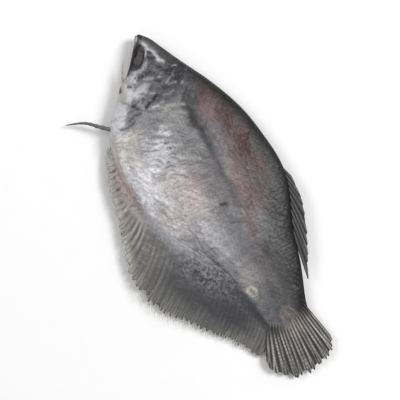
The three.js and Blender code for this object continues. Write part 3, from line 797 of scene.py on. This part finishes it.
    def add_back(self):
        """The dark ridge of the back, the dusk beside it and the shade towards it."""
        x, y = self.x, self.y
        width = through(RIDGE_DARK, x)
        depth = self.back - y + 0.5 * self.blotch * width / 2
        self.strengthen(
            "dusk",
            0.9 * (1 - ramp(depth, width, 3.6 * width)) * (1 - 0.8 * self.zones["rust"]),
            0.1 * ramp(self.belly + 6 - self.far[1], 0, 6) * ramp(x, 47, 64),
        )
        self.strengthen(
            "ridge",
            1 - ramp(depth, 0.3 * width, 1.35 * width),
            0.4 * (1 - ramp(depth, 0, 3 * width)),
        )
        towards_back = ramp(y + 1.2 * self.blotch + 2 * ramp(x, 46, 58), -7, 4) * ramp(x, 8, 18)
        from_ridge = ramp(depth / through(SHADE_REACH, x), 0.08, 1)
        self.zones["shade"] = (1 - 0.27 * towards_back) * (0.5 + 0.5 * from_ridge)


# Meshes


def place(points):
    """Points in shares as points in the frame, in metres."""
    origin = np.array([LOW[0], LOW[1] + ANAL_FIN_REACH * SHARE, LOW[2]])
    return np.asarray(points, float) * SHARE + origin


def put(name, data):
    """A new object in the scene."""
    thing = bpy.data.objects.new(name, data)
    bpy.context.scene.collection.objects.link(thing)
    return thing


def new_piece(name, points, faces, masks, material, flat_faces=0):
    """One mesh that stands for its part of the fish. Points are in shares, and the last of
    the faces can be flat ones."""
    mesh = bpy.data.meshes.new(name)
    mesh.from_pydata(place(points).tolist(), [], [[int(i) for i in face] for face in faces])
    smooth = np.ones(len(mesh.polygons), bool)
    smooth[len(smooth) - flat_faces:] = False
    mesh.polygons.foreach_set("use_smooth", smooth)
    for mask, values in masks.items():
        attribute = mesh.attributes.new(mask, "FLOAT", "POINT")
        attribute.data.foreach_set("value", np.ascontiguousarray(values, np.float32))
    mesh.materials.append(material)
    piece = put(name, mesh)
    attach(piece, "root")
    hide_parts(NODE)


def grid_faces(index):
    """Four-sided faces over a grid of vertex numbers, in the order of the grid."""
    corners = (index[:-1, :-1], index[1:, :-1], index[1:, 1:], index[:-1, 1:])
    return np.stack([corner.ravel() for corner in corners], axis=1)


def shell(name, x, y, z, masks, material, outwards):
    """A closed piece under one sheet: straight strips join the two long sides of its grid,
    out of sight within the fish."""
    index = np.arange(x.size).reshape(x.shape)
    near, far = index[:, 0], index[:, -1]
    strips = np.stack([near[:-1], far[:-1], far[1:], near[1:]], axis=1)
    ends = [index[0], index[-1][::-1]]
    faces = [*grid_faces(index), *strips, *ends]
    if outwards < 0:
        faces = [face[::-1] for face in faces]
    points = np.stack([x.ravel(), y.ravel(), z.ravel()], axis=1)
    stored = {mask: values.ravel() for mask, values in masks.items()}
    new_piece(name, points, faces, stored, material, len(strips) + len(ends))


def pillow(name, x, y, high, low, masks, material):
    """A closed fin between an upper and a lower sheet over one grid, which meet along its
    rim. With the grid's first way to +X, its second runs to +Y."""
    rim = np.ones(x.shape, bool)
    rim[1:-1, 1:-1] = False
    middle = (high + low) / 2
    upper = np.arange(x.size).reshape(x.shape)
    lower = upper.copy()
    lower[~rim] = np.arange(x.size, x.size + (~rim).sum())
    points = np.concatenate([
        np.stack([x.ravel(), y.ravel(), np.where(rim, middle, high).ravel()], 1),
        np.stack([x[~rim], y[~rim], low[~rim]], 1),
    ])
    faces = np.concatenate([grid_faces(upper), grid_faces(lower)[:, ::-1]])
    stored = {
        mask: np.concatenate([values.ravel(), values[~rim]]) for mask, values in masks.items()
    }
    new_piece(name, points, faces, stored, material)


def tube(points, radii, sides, steps):
    """Rings of points along a round tapering thread through the points, and its faces."""
    points = np.asarray(points, float)
    keys = np.column_stack([np.arange(len(points)), points, radii])
    at = np.linspace(0, len(points) - 1, (len(points) - 1) * steps + 1)
    line = np.stack([through(keys, at, column) for column in (1, 2, 3)], axis=1)
    radius = through(keys, at, 4)[:, None, None]
    ahead = np.gradient(line, axis=0)
    ahead /= np.linalg.norm(ahead, axis=1)[:, None]
    aside = np.cross(ahead, (0, 0, 1))
    aside /= np.linalg.norm(aside, axis=1)[:, None]
    upwards = np.cross(aside, ahead)
    turns = (np.arange(sides) * tau / sides)[None, :, None]
    rings = line[:, None] + radius * (
        np.cos(turns) * aside[:, None] + np.sin(turns) * upwards[:, None]
    )
    index = np.arange(len(line) * sides).reshape(len(line), sides)
    wall = grid_faces(np.concatenate([index, index[:, :1]], axis=1))[:, ::-1]
    return rings, [*wall, index[0], index[-1][::-1]]


# Materials


class Finish:
    """A node material under construction. Its sizes and depths are in metres."""

    def __init__(self, name):
        self.material = bpy.data.materials.new(name)
        self.material.use_nodes = True
        self.nodes = self.material.node_tree.nodes
        self.links = self.material.node_tree.links
        self.inputs = self.nodes["Principled BSDF"].inputs

    def add(self, kind, **settings):
        node = self.nodes.new(kind)
        for name, value in settings.items():
            setattr(node, name, value)
        return node

    def feed(self, socket, value):
        """Sets a socket to a value, or links it to another socket."""
        if isinstance(value, bpy.types.NodeSocket):
            self.links.new(value, socket)
        else:
            socket.default_value = value

    def mask(self, name):
        return self.add("ShaderNodeAttribute", attribute_name=name).outputs["Fac"]

    def maths(self, operation, first, second):
        node = self.add("ShaderNodeMath", operation=operation)
        self.feed(node.inputs[0], first)
        self.feed(node.inputs[1], second)
        return node.outputs[0]

    def mix(self, share, first, second, blend="MIX"):
        """The first colour with the second over it, by the node's sockets for colours."""
        node = self.add("ShaderNodeMix", data_type="RGBA", blend_type=blend, clamp_factor=True)
        self.feed(node.inputs[0], share)
        self.feed(node.inputs[6], first)
        self.feed(node.inputs[7], second)
        return node.outputs[2]

    def cloud(self, size, detail=3.0, roughness=0.55):
        """Noise from 0 to 1 with swells of about that size."""
        node = self.add("ShaderNodeTexNoise")
        place_in_space = self.add("ShaderNodeTexCoord").outputs["Object"]
        self.feed(node.inputs["Vector"], place_in_space)
        self.feed(node.inputs["Scale"], 1 / size)
        self.feed(node.inputs["Detail"], detail)
        self.feed(node.inputs["Roughness"], roughness)
        return node.outputs["Fac"]

    def spread(self, value, low, high, to_low, to_high):
        node = self.add("ShaderNodeMapRange")
        for socket, given in zip(node.inputs, (value, low, high, to_low, to_high)):
            self.feed(socket, given)
        return node.outputs[0]

    def shade(self, cloud, darkest, lightest):
        return self.spread(cloud, *CLOUD_RANGE, darkest, lightest)

    def zoned(self, colour, zones, colours):
        """The colour, with the colours of the zones laid over it in their order."""
        for zone in zones:
            colour = self.mix(self.mask(zone), colour, rgba(getattr(colours, zone)))
        return colour

    def tinted(self, colour, *shades):
        """The colour, made lighter or darker by each of the shades."""
        total = shades[0]
        for shade in shades[1:]:
            total = self.maths("MULTIPLY", total, shade)
        node = self.add("ShaderNodeVectorMath", operation="SCALE")
        self.feed(node.inputs[0], colour)
        self.feed(node.inputs["Scale"], total)
        return node.outputs[0]

    def dress(self, colour, rough, grit, depth, specular=0.5):
        """Feeds the shader, and makes the grit stand up to that depth."""
        bump = self.add("ShaderNodeBump")
        self.feed(bump.inputs["Height"], grit)
        self.feed(bump.inputs["Distance"], depth)
        self.feed(bump.inputs["Strength"], 1.0)
        self.feed(self.inputs["Base Color"], colour)
        self.feed(self.inputs["Roughness"], rough)
        self.feed(self.inputs["Normal"], bump.outputs["Normal"])
        self.feed(self.inputs["Specular IOR Level"], specular)
        return self.material


def rgba(colour):
    return (*colour, 1.0)


def skin_finish(colours):
    """Dried scaly skin: zones of colour from the mesh, with fine mottling over them."""
    finish = Finish("dried skin")
    colour = finish.zoned(rgba(colours.flank), SKIN_ZONES, colours)
    for size, cast in CASTS:
        share = finish.spread(finish.cloud(size, 2.0), *CAST_RANGE, 0.0, 1.0)
        colour = finish.mix(share, colour, rgba(cast), "MULTIPLY")
    fine = finish.cloud(0.0009, 4.0, 0.65)
    colour = finish.tinted(
        colour,
        finish.shade(fine, 0.78, 1.2),
        finish.shade(finish.cloud(0.006), 0.88, 1.12),
        finish.mask("shade"),
        finish.spread(finish.mask("scale"), 0.0, 1.0, 0.92, 1.14),
        # painted highlight: the glints make the colour up to a third brighter
        finish.spread(finish.mask("painted_glints"), 0.0, 1.0, 1.0, 1.35),
    )
    metal = finish.maths("MULTIPLY", finish.mask("silver"), 0.1)
    finish.feed(finish.inputs["Metallic"], metal)
    duller = finish.maths("MULTIPLY", finish.mask("slit"), 0.3)
    rough = finish.maths("ADD", finish.shade(fine, 0.32, 0.52), duller)
    return finish.dress(colour, rough, fine, 0.00014, 0.32)


def fin_finish(name, colours, web):
    """Dried fin: pale horny rays, darker membrane between, and skin over their roots."""
    finish = Finish(name)
    fine = finish.cloud(0.0008, 4.0, 0.6)
    colour = finish.zoned(rgba(web), FIN_ZONES, colours)
    colour = finish.tinted(colour, finish.shade(fine, 0.8, 1.18))
    return finish.dress(colour, finish.shade(fine, 0.42, 0.66), fine, 0.00012, 0.4)


def plain_finish(name, colour, rough, grit_size, grit_depth, contrast=0.3):
    """One colour with fine mottling and grit, for the eyes, the threads and the floor."""
    finish = Finish(name)
    fine = finish.cloud(grit_size)
    colour = finish.tinted(tuple(colour), finish.shade(fine, 1 - contrast, 1 + contrast))
    return finish.dress(colour, finish.shade(fine, rough, rough + 0.15), fine, grit_depth)


# Pieces


def socket_floor(x, y, skin_at):
    """Height of the skin in the middle of the eye's socket, and how far in a place lies."""
    return skin_at(*np.array(EYE)), np.sqrt(np.maximum(0, 1 - out_of_eye(x, y) ** 2))


def build_flank(name, outwards, sizes, material):
    """The skin of one side, from the snout to where it thins out on the tail fin."""
    along, across = FLANK_STEPS[outwards]
    s = np.linspace(0, 1, along + 1)[:, None] ** 1.06
    t = np.linspace(0, 1, across + 1)[None, :]
    out = 0.6 * (2 * t - 1) - 0.4 * np.cos(pi * t)
    x = (BODY_END - 0.7) * s + ROOT_BULGE * (1 - out**2) * s**14
    crest = through(FLANK, x)
    y = crest + out * np.where(out > 0, through(BACK, x) - crest, crest - through(BELLY, x))
    skin = Skin(x, y, sizes, outwards)
    skin.zones["ray"] = np.zeros(x.shape)
    thin = 1 - 0.88 * ramp(x, 93, BODY_END + ROOT_BULGE - 1)
    relief = skin.relief * np.minimum(1, roundness(x, y) * 1.6) * (0.25 + 0.75 * thin)
    edge = through(EDGE_HEIGHT, x)
    if outwards > 0:
        z = edge + (upper_skin(x, y) - edge) * thin + relief
        middle, inside = socket_floor(x, y, upper_skin)
        z = np.where(inside > 0, np.minimum(z, middle + 0.1 - EYE_DEPTH * inside), z)
    else:
        z = edge + (lower_skin(x, y) - edge) * thin
        pressed = ramp(z, 0, 0.5)
        z = np.maximum(z - relief * pressed, 0)
        z += np.clip(-relief, 0, 1) * PRESSED_RELIEF * (1 - pressed)
        middle, inside = socket_floor(x, y, lower_skin)
        z = np.where(inside > 0, np.maximum(z, middle - 0.1 + EYE_DEPTH * inside), z)
    shell(name, x, y, z, skin.zones, material, outwards)


def build_eye(name, skin_at, outwards, material):
    """A shrunken eyeball, wrinkled like a raisin."""
    around, down = EYEBALL_STEPS
    turn, tip = np.meshgrid(
        np.linspace(0, tau, around, endpoint=False), np.linspace(0, pi, down + 1)[1:-1]
    )
    dent = 1 - 0.12 * (1 + np.cos(5 * turn + 2 * tip)) * np.sin(tip) ** 2
    dent -= 0.05 * (1 + np.cos(11 * turn - 3 * tip)) * np.sin(tip)
    ball = np.stack([np.sin(tip) * np.cos(turn), np.sin(tip) * np.sin(turn), np.cos(tip)], -1)
    ball = (ball * dent[..., None]).reshape(-1, 3)
    poles = np.array([[0, 0, 0.8], [0, 0, -0.8]])
    points = np.concatenate([ball, poles]) * EYEBALL_RADII
    c, s = cos(EYE_TURN), sin(EYE_TURN)
    points = points @ np.array([[c, s, 0], [-s, c, 0], [0, 0, 1]])
    points += (*EYEBALL, skin_at(*np.array(EYE)) - outwards * (EYE_DEPTH - 0.45))
    index = np.arange(len(ball)).reshape(down - 1, around)
    wrapped = np.concatenate([index, index[:, :1]], axis=1)
    top, bottom = len(ball), len(ball) + 1
    faces = [*grid_faces(wrapped)]
    faces += [(top, a, b) for a, b in zip(wrapped[0, :-1], wrapped[0, 1:])]
    faces += [(bottom, b, a) for a, b in zip(wrapped[-1, :-1], wrapped[-1, 1:])]
    new_piece(name, points, faces, {}, material)


def fin_grid(rays, root, tip, sizes, seed, split, steps=80, bow=0, notch=0.05, proud=1.0):
    """Grid of a fin, whose first way runs out along the rays in that many steps, and whose
    second runs across them. The rays split in two from that share of their length on.
    Returns x, y, the place among the rays, how far out, the rays' ridges, the fin's
    half-thickness and a number of each ray's own."""
    u = np.linspace(0, 1, rays * STEPS_ACROSS_RAY + 1)[None, :]
    s = np.linspace(0, 1, steps + 1)[:, None]
    place_in_ray = (u * rays) % 1
    number = np.minimum(np.floor(u * rays), rays - 1).astype(int)
    own = np.random.default_rng(seed).uniform(0, 1, (4, rays))[:, number]
    single = np.sin(pi * place_in_ray) ** 1.5
    double = np.abs(np.sin(tau * place_in_ray)) ** 1.2
    parted = ramp(s, split, split + 0.25)
    ridge = (single * (1 - parted) + double * parted) * (0.7 + 0.3 * own[3])
    reach = 1 - notch * (1 - single) - notch * 1.4 * own[0] ** 2
    v = s * reach
    fan = np.clip(u + (own[1] - 0.5) * 0.8 / rays * v * v, 0, 1)
    root_x, root_y = root(fan)
    tip_x, tip_y = tip(fan)
    side_x, side_y = root_y - tip_y, tip_x - root_x
    bend = bow * v * (1 - v) * 4 / np.hypot(side_x, side_y)
    x = root_x + (tip_x - root_x) * v + side_x * bend
    y = root_y + (tip_y - root_y) * v + side_y * bend
    web = sizes.fin_thickness / SHARE / 2
    half = (web + proud * sizes.ray_height / SHARE * ridge) * (1 - 0.5 * v)
    return x, y, u + 0 * v, v, ridge, half, own[2] + 0 * v


def along_edge(edge, ends, sunk):
    """A root line along an outline of the body, sunk into the body by that much."""

    def root(u):
        x = ends[0] + (ends[1] - ends[0]) * u
        return x, through(edge, x) + sunk

    return root


def keyed(keys):
    return lambda u: (through(keys, u, 1), through(keys, u, 2))


def new_fin(name, x, y, middle, half, colours, web, turn_round, **zones):
    """A fin's piece, as thick as twice the half. A grid laid out the other way is turned
    round."""
    grids = [x, y, middle + half, middle - half]
    masks = {zone: np.clip(zones.get(zone, 0) + 0 * x, 0, 1) for zone in FIN_ZONES}
    if turn_round:
        grids = [grid[:, ::-1] for grid in grids]
        masks = {zone: cover[:, ::-1] for zone, cover in masks.items()}
    material = fin_finish("dried " + name.replace("_", " "), colours, web)
    pillow(name, *grids, masks, material)


def build_tail_fin(sizes, colours):
    x, y, u, v, ridge, half, own = fin_grid(
        sizes.tail_rays, keyed(TAIL_ROOT), keyed(TAIL_TIPS), sizes, seed=5, split=0.74
    )
    beads = 0.5 + 0.5 * np.sin(v * 105 + own * 9)
    wear_and_gleam = 0.8 + 0.5 * cloud(x / 2.6, y / 1.4, 43)
    tone = ridge**2.2 * (0.55 + 0.3 * own + 0.55 * beads * ramp(v, 0.2, 0.35)) * wear_and_gleam
    new_fin(
        "tail_fin", x, y,
        through(EDGE_HEIGHT, x) + 0.35 * v * np.sin(9 * u) + 0.12 * v * (own - 0.5),
        half, colours, colours.tail_web, turn_round=True,
        ray=tone * ramp(v, 0.08, 0.3),
        ham=patch(x, y, *TAIL_FLESH) * (0.1 + 0.35 * ridge),
        slate=0.45 * ramp(-y, 5, 8) * ramp(-v, -0.5, -0.2),
        # painted shade between the rays, darkest near the root
        slit=0.5 * (1 - ramp(v, 0.1, 0.3)) * (1 - ridge) + 0.25 * (1 - ridge) ** 2,
    )


def build_anal_fin(sizes, colours):
    """Skin covers its rays near the body, and most of them towards the tail."""
    x, y, u, v, ridge, half, own = fin_grid(
        sizes.anal_rays, along_edge(BELLY, ANAL_ROOT, ANAL_IN_BODY), keyed(ANAL_TIPS), sizes,
        seed=8, split=0.72, steps=64, bow=1.6, proud=0.5,
    )
    near = wandering(x, y, 0.9, 2, 41)
    near_x = near[0]
    blotch = cloud(x / 2.2, y / 2.2, 35)
    speck = grain(x, y, radians(52), 1.4, 0.55, 36)
    broken = 0.8 + 0.8 * cloud(u * sizes.anal_rays * 0.45, v * 3, 37)
    pale_flecks, dark_flecks = flecking(*near)

    # Where the fin's parts lie, from its first rays to its last, and out to its margin
    first, front = ramp(-near_x, -54, -42), ramp(-near_x, -72, -62)
    rear, last = 1 - front, ramp(near_x, 94, 102)
    margin = ramp(v, 0.72, 1) * ramp(-x, -76, -60)
    covered = np.maximum.reduce([
        1 - ramp(v + 0.12 * blotch, 0.22 + 0.2 * first, 0.5 + 0.25 * first),
        0.92 * patch(*near, *COVERED_MIDDLE),
        0.85 * patch(*near, *COVERED_REAR),
    ])
    bare, furrow = 1 - covered, (1 - ridge) ** 1.5
    below_silver = (1 - ramp(v + 0.08 * blotch, 0.06, 0.26)) * patch(x, y, *BELOW_SILVER)
    ticks = patch(*near, *FRONT_TICKS) * ramp(blotch, -0.2, 0.1)

    half = half * (0.6 + 0.4 * bare) + 0.25 * covered * (1 - v)
    half = half + FIN_FILLET * (1 - ramp(v, 0, 0.34)) ** 1.4
    middle = through(EDGE_HEIGHT, x) - ANAL_DROOP * v * v + 0.3 * v * np.sin(21 * u)
    middle = middle + 0.2 * v * (own - 0.5) + 0.12 * speck * covered + 0.1 * blotch
    new_fin(
        "anal_fin", x, y, middle, half, colours, colours.web, turn_round=False,
        ray=(0.1 + 0.9 * bare) * ridge**1.8 * (0.3 + 1.2 * own) * broken * (1 - 0.4 * first)
        + 0.12 * last * ridge
        + (0.45 + 0.55 * own) * margin
        + 0.3 * first * ramp(v + 0.2 * blotch, 0.6, 0.9)
        + 0.8 * ramp(-near_x, -38, -28),
        ham=(0.3 + 0.7 * covered) * (0.75 + 0.5 * blotch + 0.25 * speck)
        * ramp(near_x, 28, 35) * ramp(-near_x, -60, -46),
        dusk=rear * (0.85 * covered + 0.25) * (1 + 0.2 * blotch)
        * (1 - 0.3 * last) * (1 - 0.5 * margin)
        + 0.4 * front * ramp(near_x, 50, 58) * (1 - margin),
        slate=rear * (0.2 + 0.6 * patch(*near, *DARK_REAR))
        + dark_flecks
        + 0.35 * front * covered * ramp(-speck - blotch, 0.2, 0.9),
        fleck=pale_flecks
        + 0.9 * below_silver
        + 0.4 * front * ramp(speck, 0.2, 0.7)
        + 0.15 * front * first * ramp(v, 0.5, 0.9)
        + 0.3 * front * (1 - first) * covered * ramp(-near_x, -60, -52),
        # painted shade in the furrows between the rays, at the front ticks and between bare rays
        slit=furrow * (0.7 * ticks + 0.4 * (1 - 0.4 * first) * bare * broken),
    )


def build_dorsal_fin(sizes, colours):
    x, y, u, v, ridge, half, own = fin_grid(
        sizes.dorsal_rays, along_edge(BACK, DORSAL_ROOT, -DORSAL_IN_BODY), keyed(DORSAL_TIPS),
        sizes, seed=9, split=2,
    )
    new_fin(
        "dorsal_fin", x, y,
        through(EDGE_HEIGHT, x) + DORSAL_CURL * v + 0.2 * v * (own - 0.5),
        half, colours, colours.tail_web, turn_round=True,
        ray=ridge**2 * (0.25 + 0.5 * ramp(v, 0.6, 0.95)),
        slate=0.5,
        # painted shade between the rays
        slit=0.5 * (1 - ridge) ** 1.5,
    )


def build_pectoral_fin(name, outwards, sizes, material):
    """A clear fin stuck down on the flank, so that the flank's colours show through."""
    x, y, u, v, ridge, half, own = fin_grid(
        sizes.pectoral_rays, keyed(PECTORAL_ROOT), keyed(PECTORAL_TIPS), sizes,
        seed=12, split=0.45, steps=70, notch=0.08,
    )
    skin = Skin(x, y, sizes, outwards)
    broken = 0.6 + 0.8 * cloud(u * sizes.pectoral_rays, v * 6, 38)
    skin.zones["ray"] = np.clip(0.14 * ridge**2 * broken * ramp(v, 0, 0.2), 0, 1)
    skin.strengthen("slate", 0.1 * (1 - ridge) ** 2 * broken)
    skin.zones["slit"] *= 0.5
    lift = PECTORAL_LIFT + 0.04 * ridge
    if outwards > 0:
        high = upper_skin(x, y) + skin.relief + lift
        low = high - PECTORAL_SUNK
    else:
        low = np.maximum(0.01, lower_skin(x, y) - skin.relief - lift)
        high = low + PECTORAL_SUNK
    pillow(name, x, y, high, low, skin.zones, material)


def build_fin_hairs(sizes, colours):
    """The free tips of the anal fin's rays, drawn out into fine hairs."""
    rng = np.random.default_rng(21)
    points, faces = [], []
    hairs = 2 * sizes.anal_rays
    for u in (np.arange(hairs) + 0.6) / hairs:
        tip = np.array([through(ANAL_TIPS, u, 1), through(ANAL_TIPS, u, 2)])
        root_x, root_y = along_edge(BELLY, ANAL_ROOT, ANAL_IN_BODY)(u)
        ahead = tip - (root_x, root_y)
        ahead /= np.linalg.norm(ahead)
        length = rng.uniform(*HAIR_LENGTHS) * (1 - 0.6 * ramp(u, 0.5, 0.9))
        sweep = np.array([0.5, 0.1]) * length
        height = through(EDGE_HEIGHT, tip[0]) - ANAL_DROOP + rng.uniform(-0.1, 0.1)
        route = (
            (*(tip - ahead * 1.4), height + 0.2),
            (*tip, height),
            (*(tip + ahead * length * 0.5 + sweep * 0.3), height - 0.1),
            (*(tip + ahead * length + sweep), height - 0.25),
        )
        rings, walls = tube(route, HAIR_RADII, HAIR_SIDES, HAIR_STEPS)
        faces += [np.array(face) + len(points) * rings.size // 3 for face in walls]
        points.append(rings)
    points = np.concatenate(points).reshape(-1, 3)
    material = plain_finish("fin hair", colours.ray, 0.5, 0.0006, 0.00005)
    new_piece("fin_hairs", points, faces, {}, material)


def build_thread(name, points, radii, material):
    """A dried thread, a little knotted along its length."""
    rings, faces = tube(points, radii, THREAD_SIDES, THREAD_STEPS)
    around, along = np.arange(THREAD_SIDES), np.arange(len(rings))[:, None]
    centre = rings.mean(axis=1, keepdims=True)
    knots = 1 + 0.1 * np.sin(along * 0.9) + 0.12 * np.cos(around * 1.6 + along * 0.13)
    rings = centre + (rings - centre) * knots[:, :, None]
    new_piece(name, rings.reshape(-1, 3), faces, {}, material)


# The stage


def build_floor(stage):
    z = LOW[2] - FLOOR_GAP
    corners = [(FLOOR_HALF * a, FLOOR_HALF * b, z) for a, b in SQUARE]
    mesh = bpy.data.meshes.new("floor")
    mesh.from_pydata(corners, [], [(0, 1, 2, 3)])
    mesh.materials.append(plain_finish("pale floor", stage.floor, 0.6, 0.01, 0.0, 0.004))
    put("floor", mesh)


def build_lights(stage, middle):
    world = bpy.data.worlds.new("soft room")
    world.use_nodes = True
    background = world.node_tree.nodes["Background"]
    background.inputs["Color"].default_value = (1, 1, 1, 1)
    background.inputs["Strength"].default_value = stage.fill
    bpy.context.scene.world = world
    for name, offset, size, share in LAMPS:
        lamp = bpy.data.lights.new(name, "AREA")
        lamp.size = size
        lamp.energy = stage.key_power * share
        holder = put(name, lamp)
        holder.location = middle + Vector(offset)
        holder.rotation_euler = (-Vector(offset)).to_track_quat("-Z", "Y").to_euler()


def build_camera(stage, middle):
    """A camera that looks straight down on the fish."""
    camera = bpy.data.cameras.new("camera")
    camera.lens = stage.lens
    camera.sensor_width = SENSOR_WIDTH
    camera.clip_start = 0.01
    distance = stage.view_height * camera.lens / camera.sensor_width
    turn = Matrix.Rotation(PICTURE_TURN, 4, "Z")
    holder = put("camera", camera)
    holder.matrix_world = Matrix.Translation(middle + Vector((0, 0, distance))) @ turn
    bpy.context.scene.camera = holder
    bpy.context.scene.view_settings.view_transform = "Standard"


def build_stage(stage):
    middle = Vector(place((*FISH_MIDDLE, 0)))
    build_floor(stage)
    build_lights(stage, middle)
    build_camera(stage, middle)


# Operators, one for each piece or group of like pieces


class FISH_OT_flanks(bpy.types.Operator):
    """Build both flanks: scaly skin, the head's bones and gill plates, folds and marks"""

    bl_idname = "fish.flanks"
    bl_label = "Flanks"

    def execute(self, context):
        sizes, colours = context.scene.fish_sizes, context.scene.fish_colours
        material = skin_finish(colours)
        build_flank("left_flank", 1, sizes, material)
        build_flank("right_flank", -1, sizes, material)
        return {"FINISHED"}


class FISH_OT_eyes(bpy.types.Operator):
    """Build the two shrunken eyeballs in their sockets"""

    bl_idname = "fish.eyes"
    bl_label = "Eyes"

    def execute(self, context):
        colours = context.scene.fish_colours
        material = plain_finish("shrunken eye", colours.eye, 0.5, 0.0009, 0.0002, 0.5)
        build_eye("left_eye", upper_skin, 1, material)
        build_eye("right_eye", lower_skin, -1, material)
        return {"FINISHED"}


class FISH_OT_tail_fin(bpy.types.Operator):
    """Build the tail fin, a fan of pale rays"""

    bl_idname = "fish.tail_fin"
    bl_label = "Tail fin"

    def execute(self, context):
        build_tail_fin(context.scene.fish_sizes, context.scene.fish_colours)
        return {"FINISHED"}


class FISH_OT_anal_fin(bpy.types.Operator):
    """Build the long anal fin, and the hairs at its margin"""

    bl_idname = "fish.anal_fin"
    bl_label = "Anal fin"

    def execute(self, context):
        build_anal_fin(context.scene.fish_sizes, context.scene.fish_colours)
        build_fin_hairs(context.scene.fish_sizes, context.scene.fish_colours)
        return {"FINISHED"}


class FISH_OT_dorsal_fin(bpy.types.Operator):
    """Build the dorsal fin, folded down along the back"""

    bl_idname = "fish.dorsal_fin"
    bl_label = "Dorsal fin"

    def execute(self, context):
        build_dorsal_fin(context.scene.fish_sizes, context.scene.fish_colours)
        return {"FINISHED"}


class FISH_OT_pectoral_fins(bpy.types.Operator):
    """Build the two pectoral fins, pressed on the flanks"""

    bl_idname = "fish.pectoral_fins"
    bl_label = "Pectoral fins"

    def execute(self, context):
        sizes, colours = context.scene.fish_sizes, context.scene.fish_colours
        material = skin_finish(colours)
        build_pectoral_fin("left_pectoral_fin", 1, sizes, material)
        build_pectoral_fin("right_pectoral_fin", -1, sizes, material)
        return {"FINISHED"}


class FISH_OT_threads(bpy.types.Operator):
    """Build the pelvic threads and the thin bone at the throat"""

    bl_idname = "fish.threads"
    bl_label = "Threads"

    def execute(self, context):
        colours = context.scene.fish_colours
        dark = plain_finish("pelvic thread", colours.thread, 0.5, 0.0008, 0.00006)
        brown = plain_finish("throat bone", colours.spine, 0.45, 0.0008, 0.00005)
        build_thread("left_pelvic_thread", LEFT_THREAD, THREAD_RADII, dark)
        build_thread("right_pelvic_thread", RIGHT_THREAD, THREAD_RADII, dark)
        build_thread("throat_bone", GILL_SPINE, GILL_SPINE_RADII, brown)
        return {"FINISHED"}


class FISH_OT_stage(bpy.types.Operator):
    """Set up the floor, the lights and the camera"""

    bl_idname = "fish.stage"
    bl_label = "Stage"

    def execute(self, context):
        build_stage(context.scene.fish_stage)
        return {"FINISHED"}


OPERATORS = (
    FISH_OT_stage,
    FISH_OT_flanks,
    FISH_OT_eyes,
    FISH_OT_tail_fin,
    FISH_OT_anal_fin,
    FISH_OT_dorsal_fin,
    FISH_OT_pectoral_fins,
    FISH_OT_threads,
)


class VIEW3D_PT_dried_fish(bpy.types.Panel):
    """Lists the fish's pieces and its settings"""

    bl_label = "Dried gourami"
    bl_space_type = "VIEW_3D"
    bl_region_type = "UI"
    bl_category = "Dried gourami"

    def draw(self, context):
        for operator in OPERATORS:
            self.layout.operator(operator.bl_idname)
        for group in SETTINGS:
            box = self.layout.box()
            settings = getattr(context.scene, group)
            for name in settings.bl_rna.properties.keys():
                if name not in ("rna_type", "name"):
                    box.prop(settings, name)


SETTINGS = {
    "fish_sizes": DriedFishSizes,
    "fish_colours": DriedFishColours,
    "fish_stage": DriedFishStage,
}
CLASSES = (*SETTINGS.values(), *OPERATORS, VIEW3D_PT_dried_fish)


def register():
    for made in CLASSES:
        bpy.utils.register_class(made)
    for name, group in SETTINGS.items():
        setattr(bpy.types.Scene, name, PointerProperty(type=group))


def unregister():
    for name in SETTINGS:
        delattr(bpy.types.Scene, name)
    for made in reversed(CLASSES):
        bpy.utils.unregister_class(made)


def main():
    register()
    bpy.ops.fish.stage()
    bpy.ops.fish.flanks()
    bpy.ops.fish.eyes()
    bpy.ops.fish.tail_fin()
    bpy.ops.fish.anal_fin()
    bpy.ops.fish.dorsal_fin()
    bpy.ops.fish.pectoral_fins()
    bpy.ops.fish.threads()


if __name__ == "__main__":
    main()
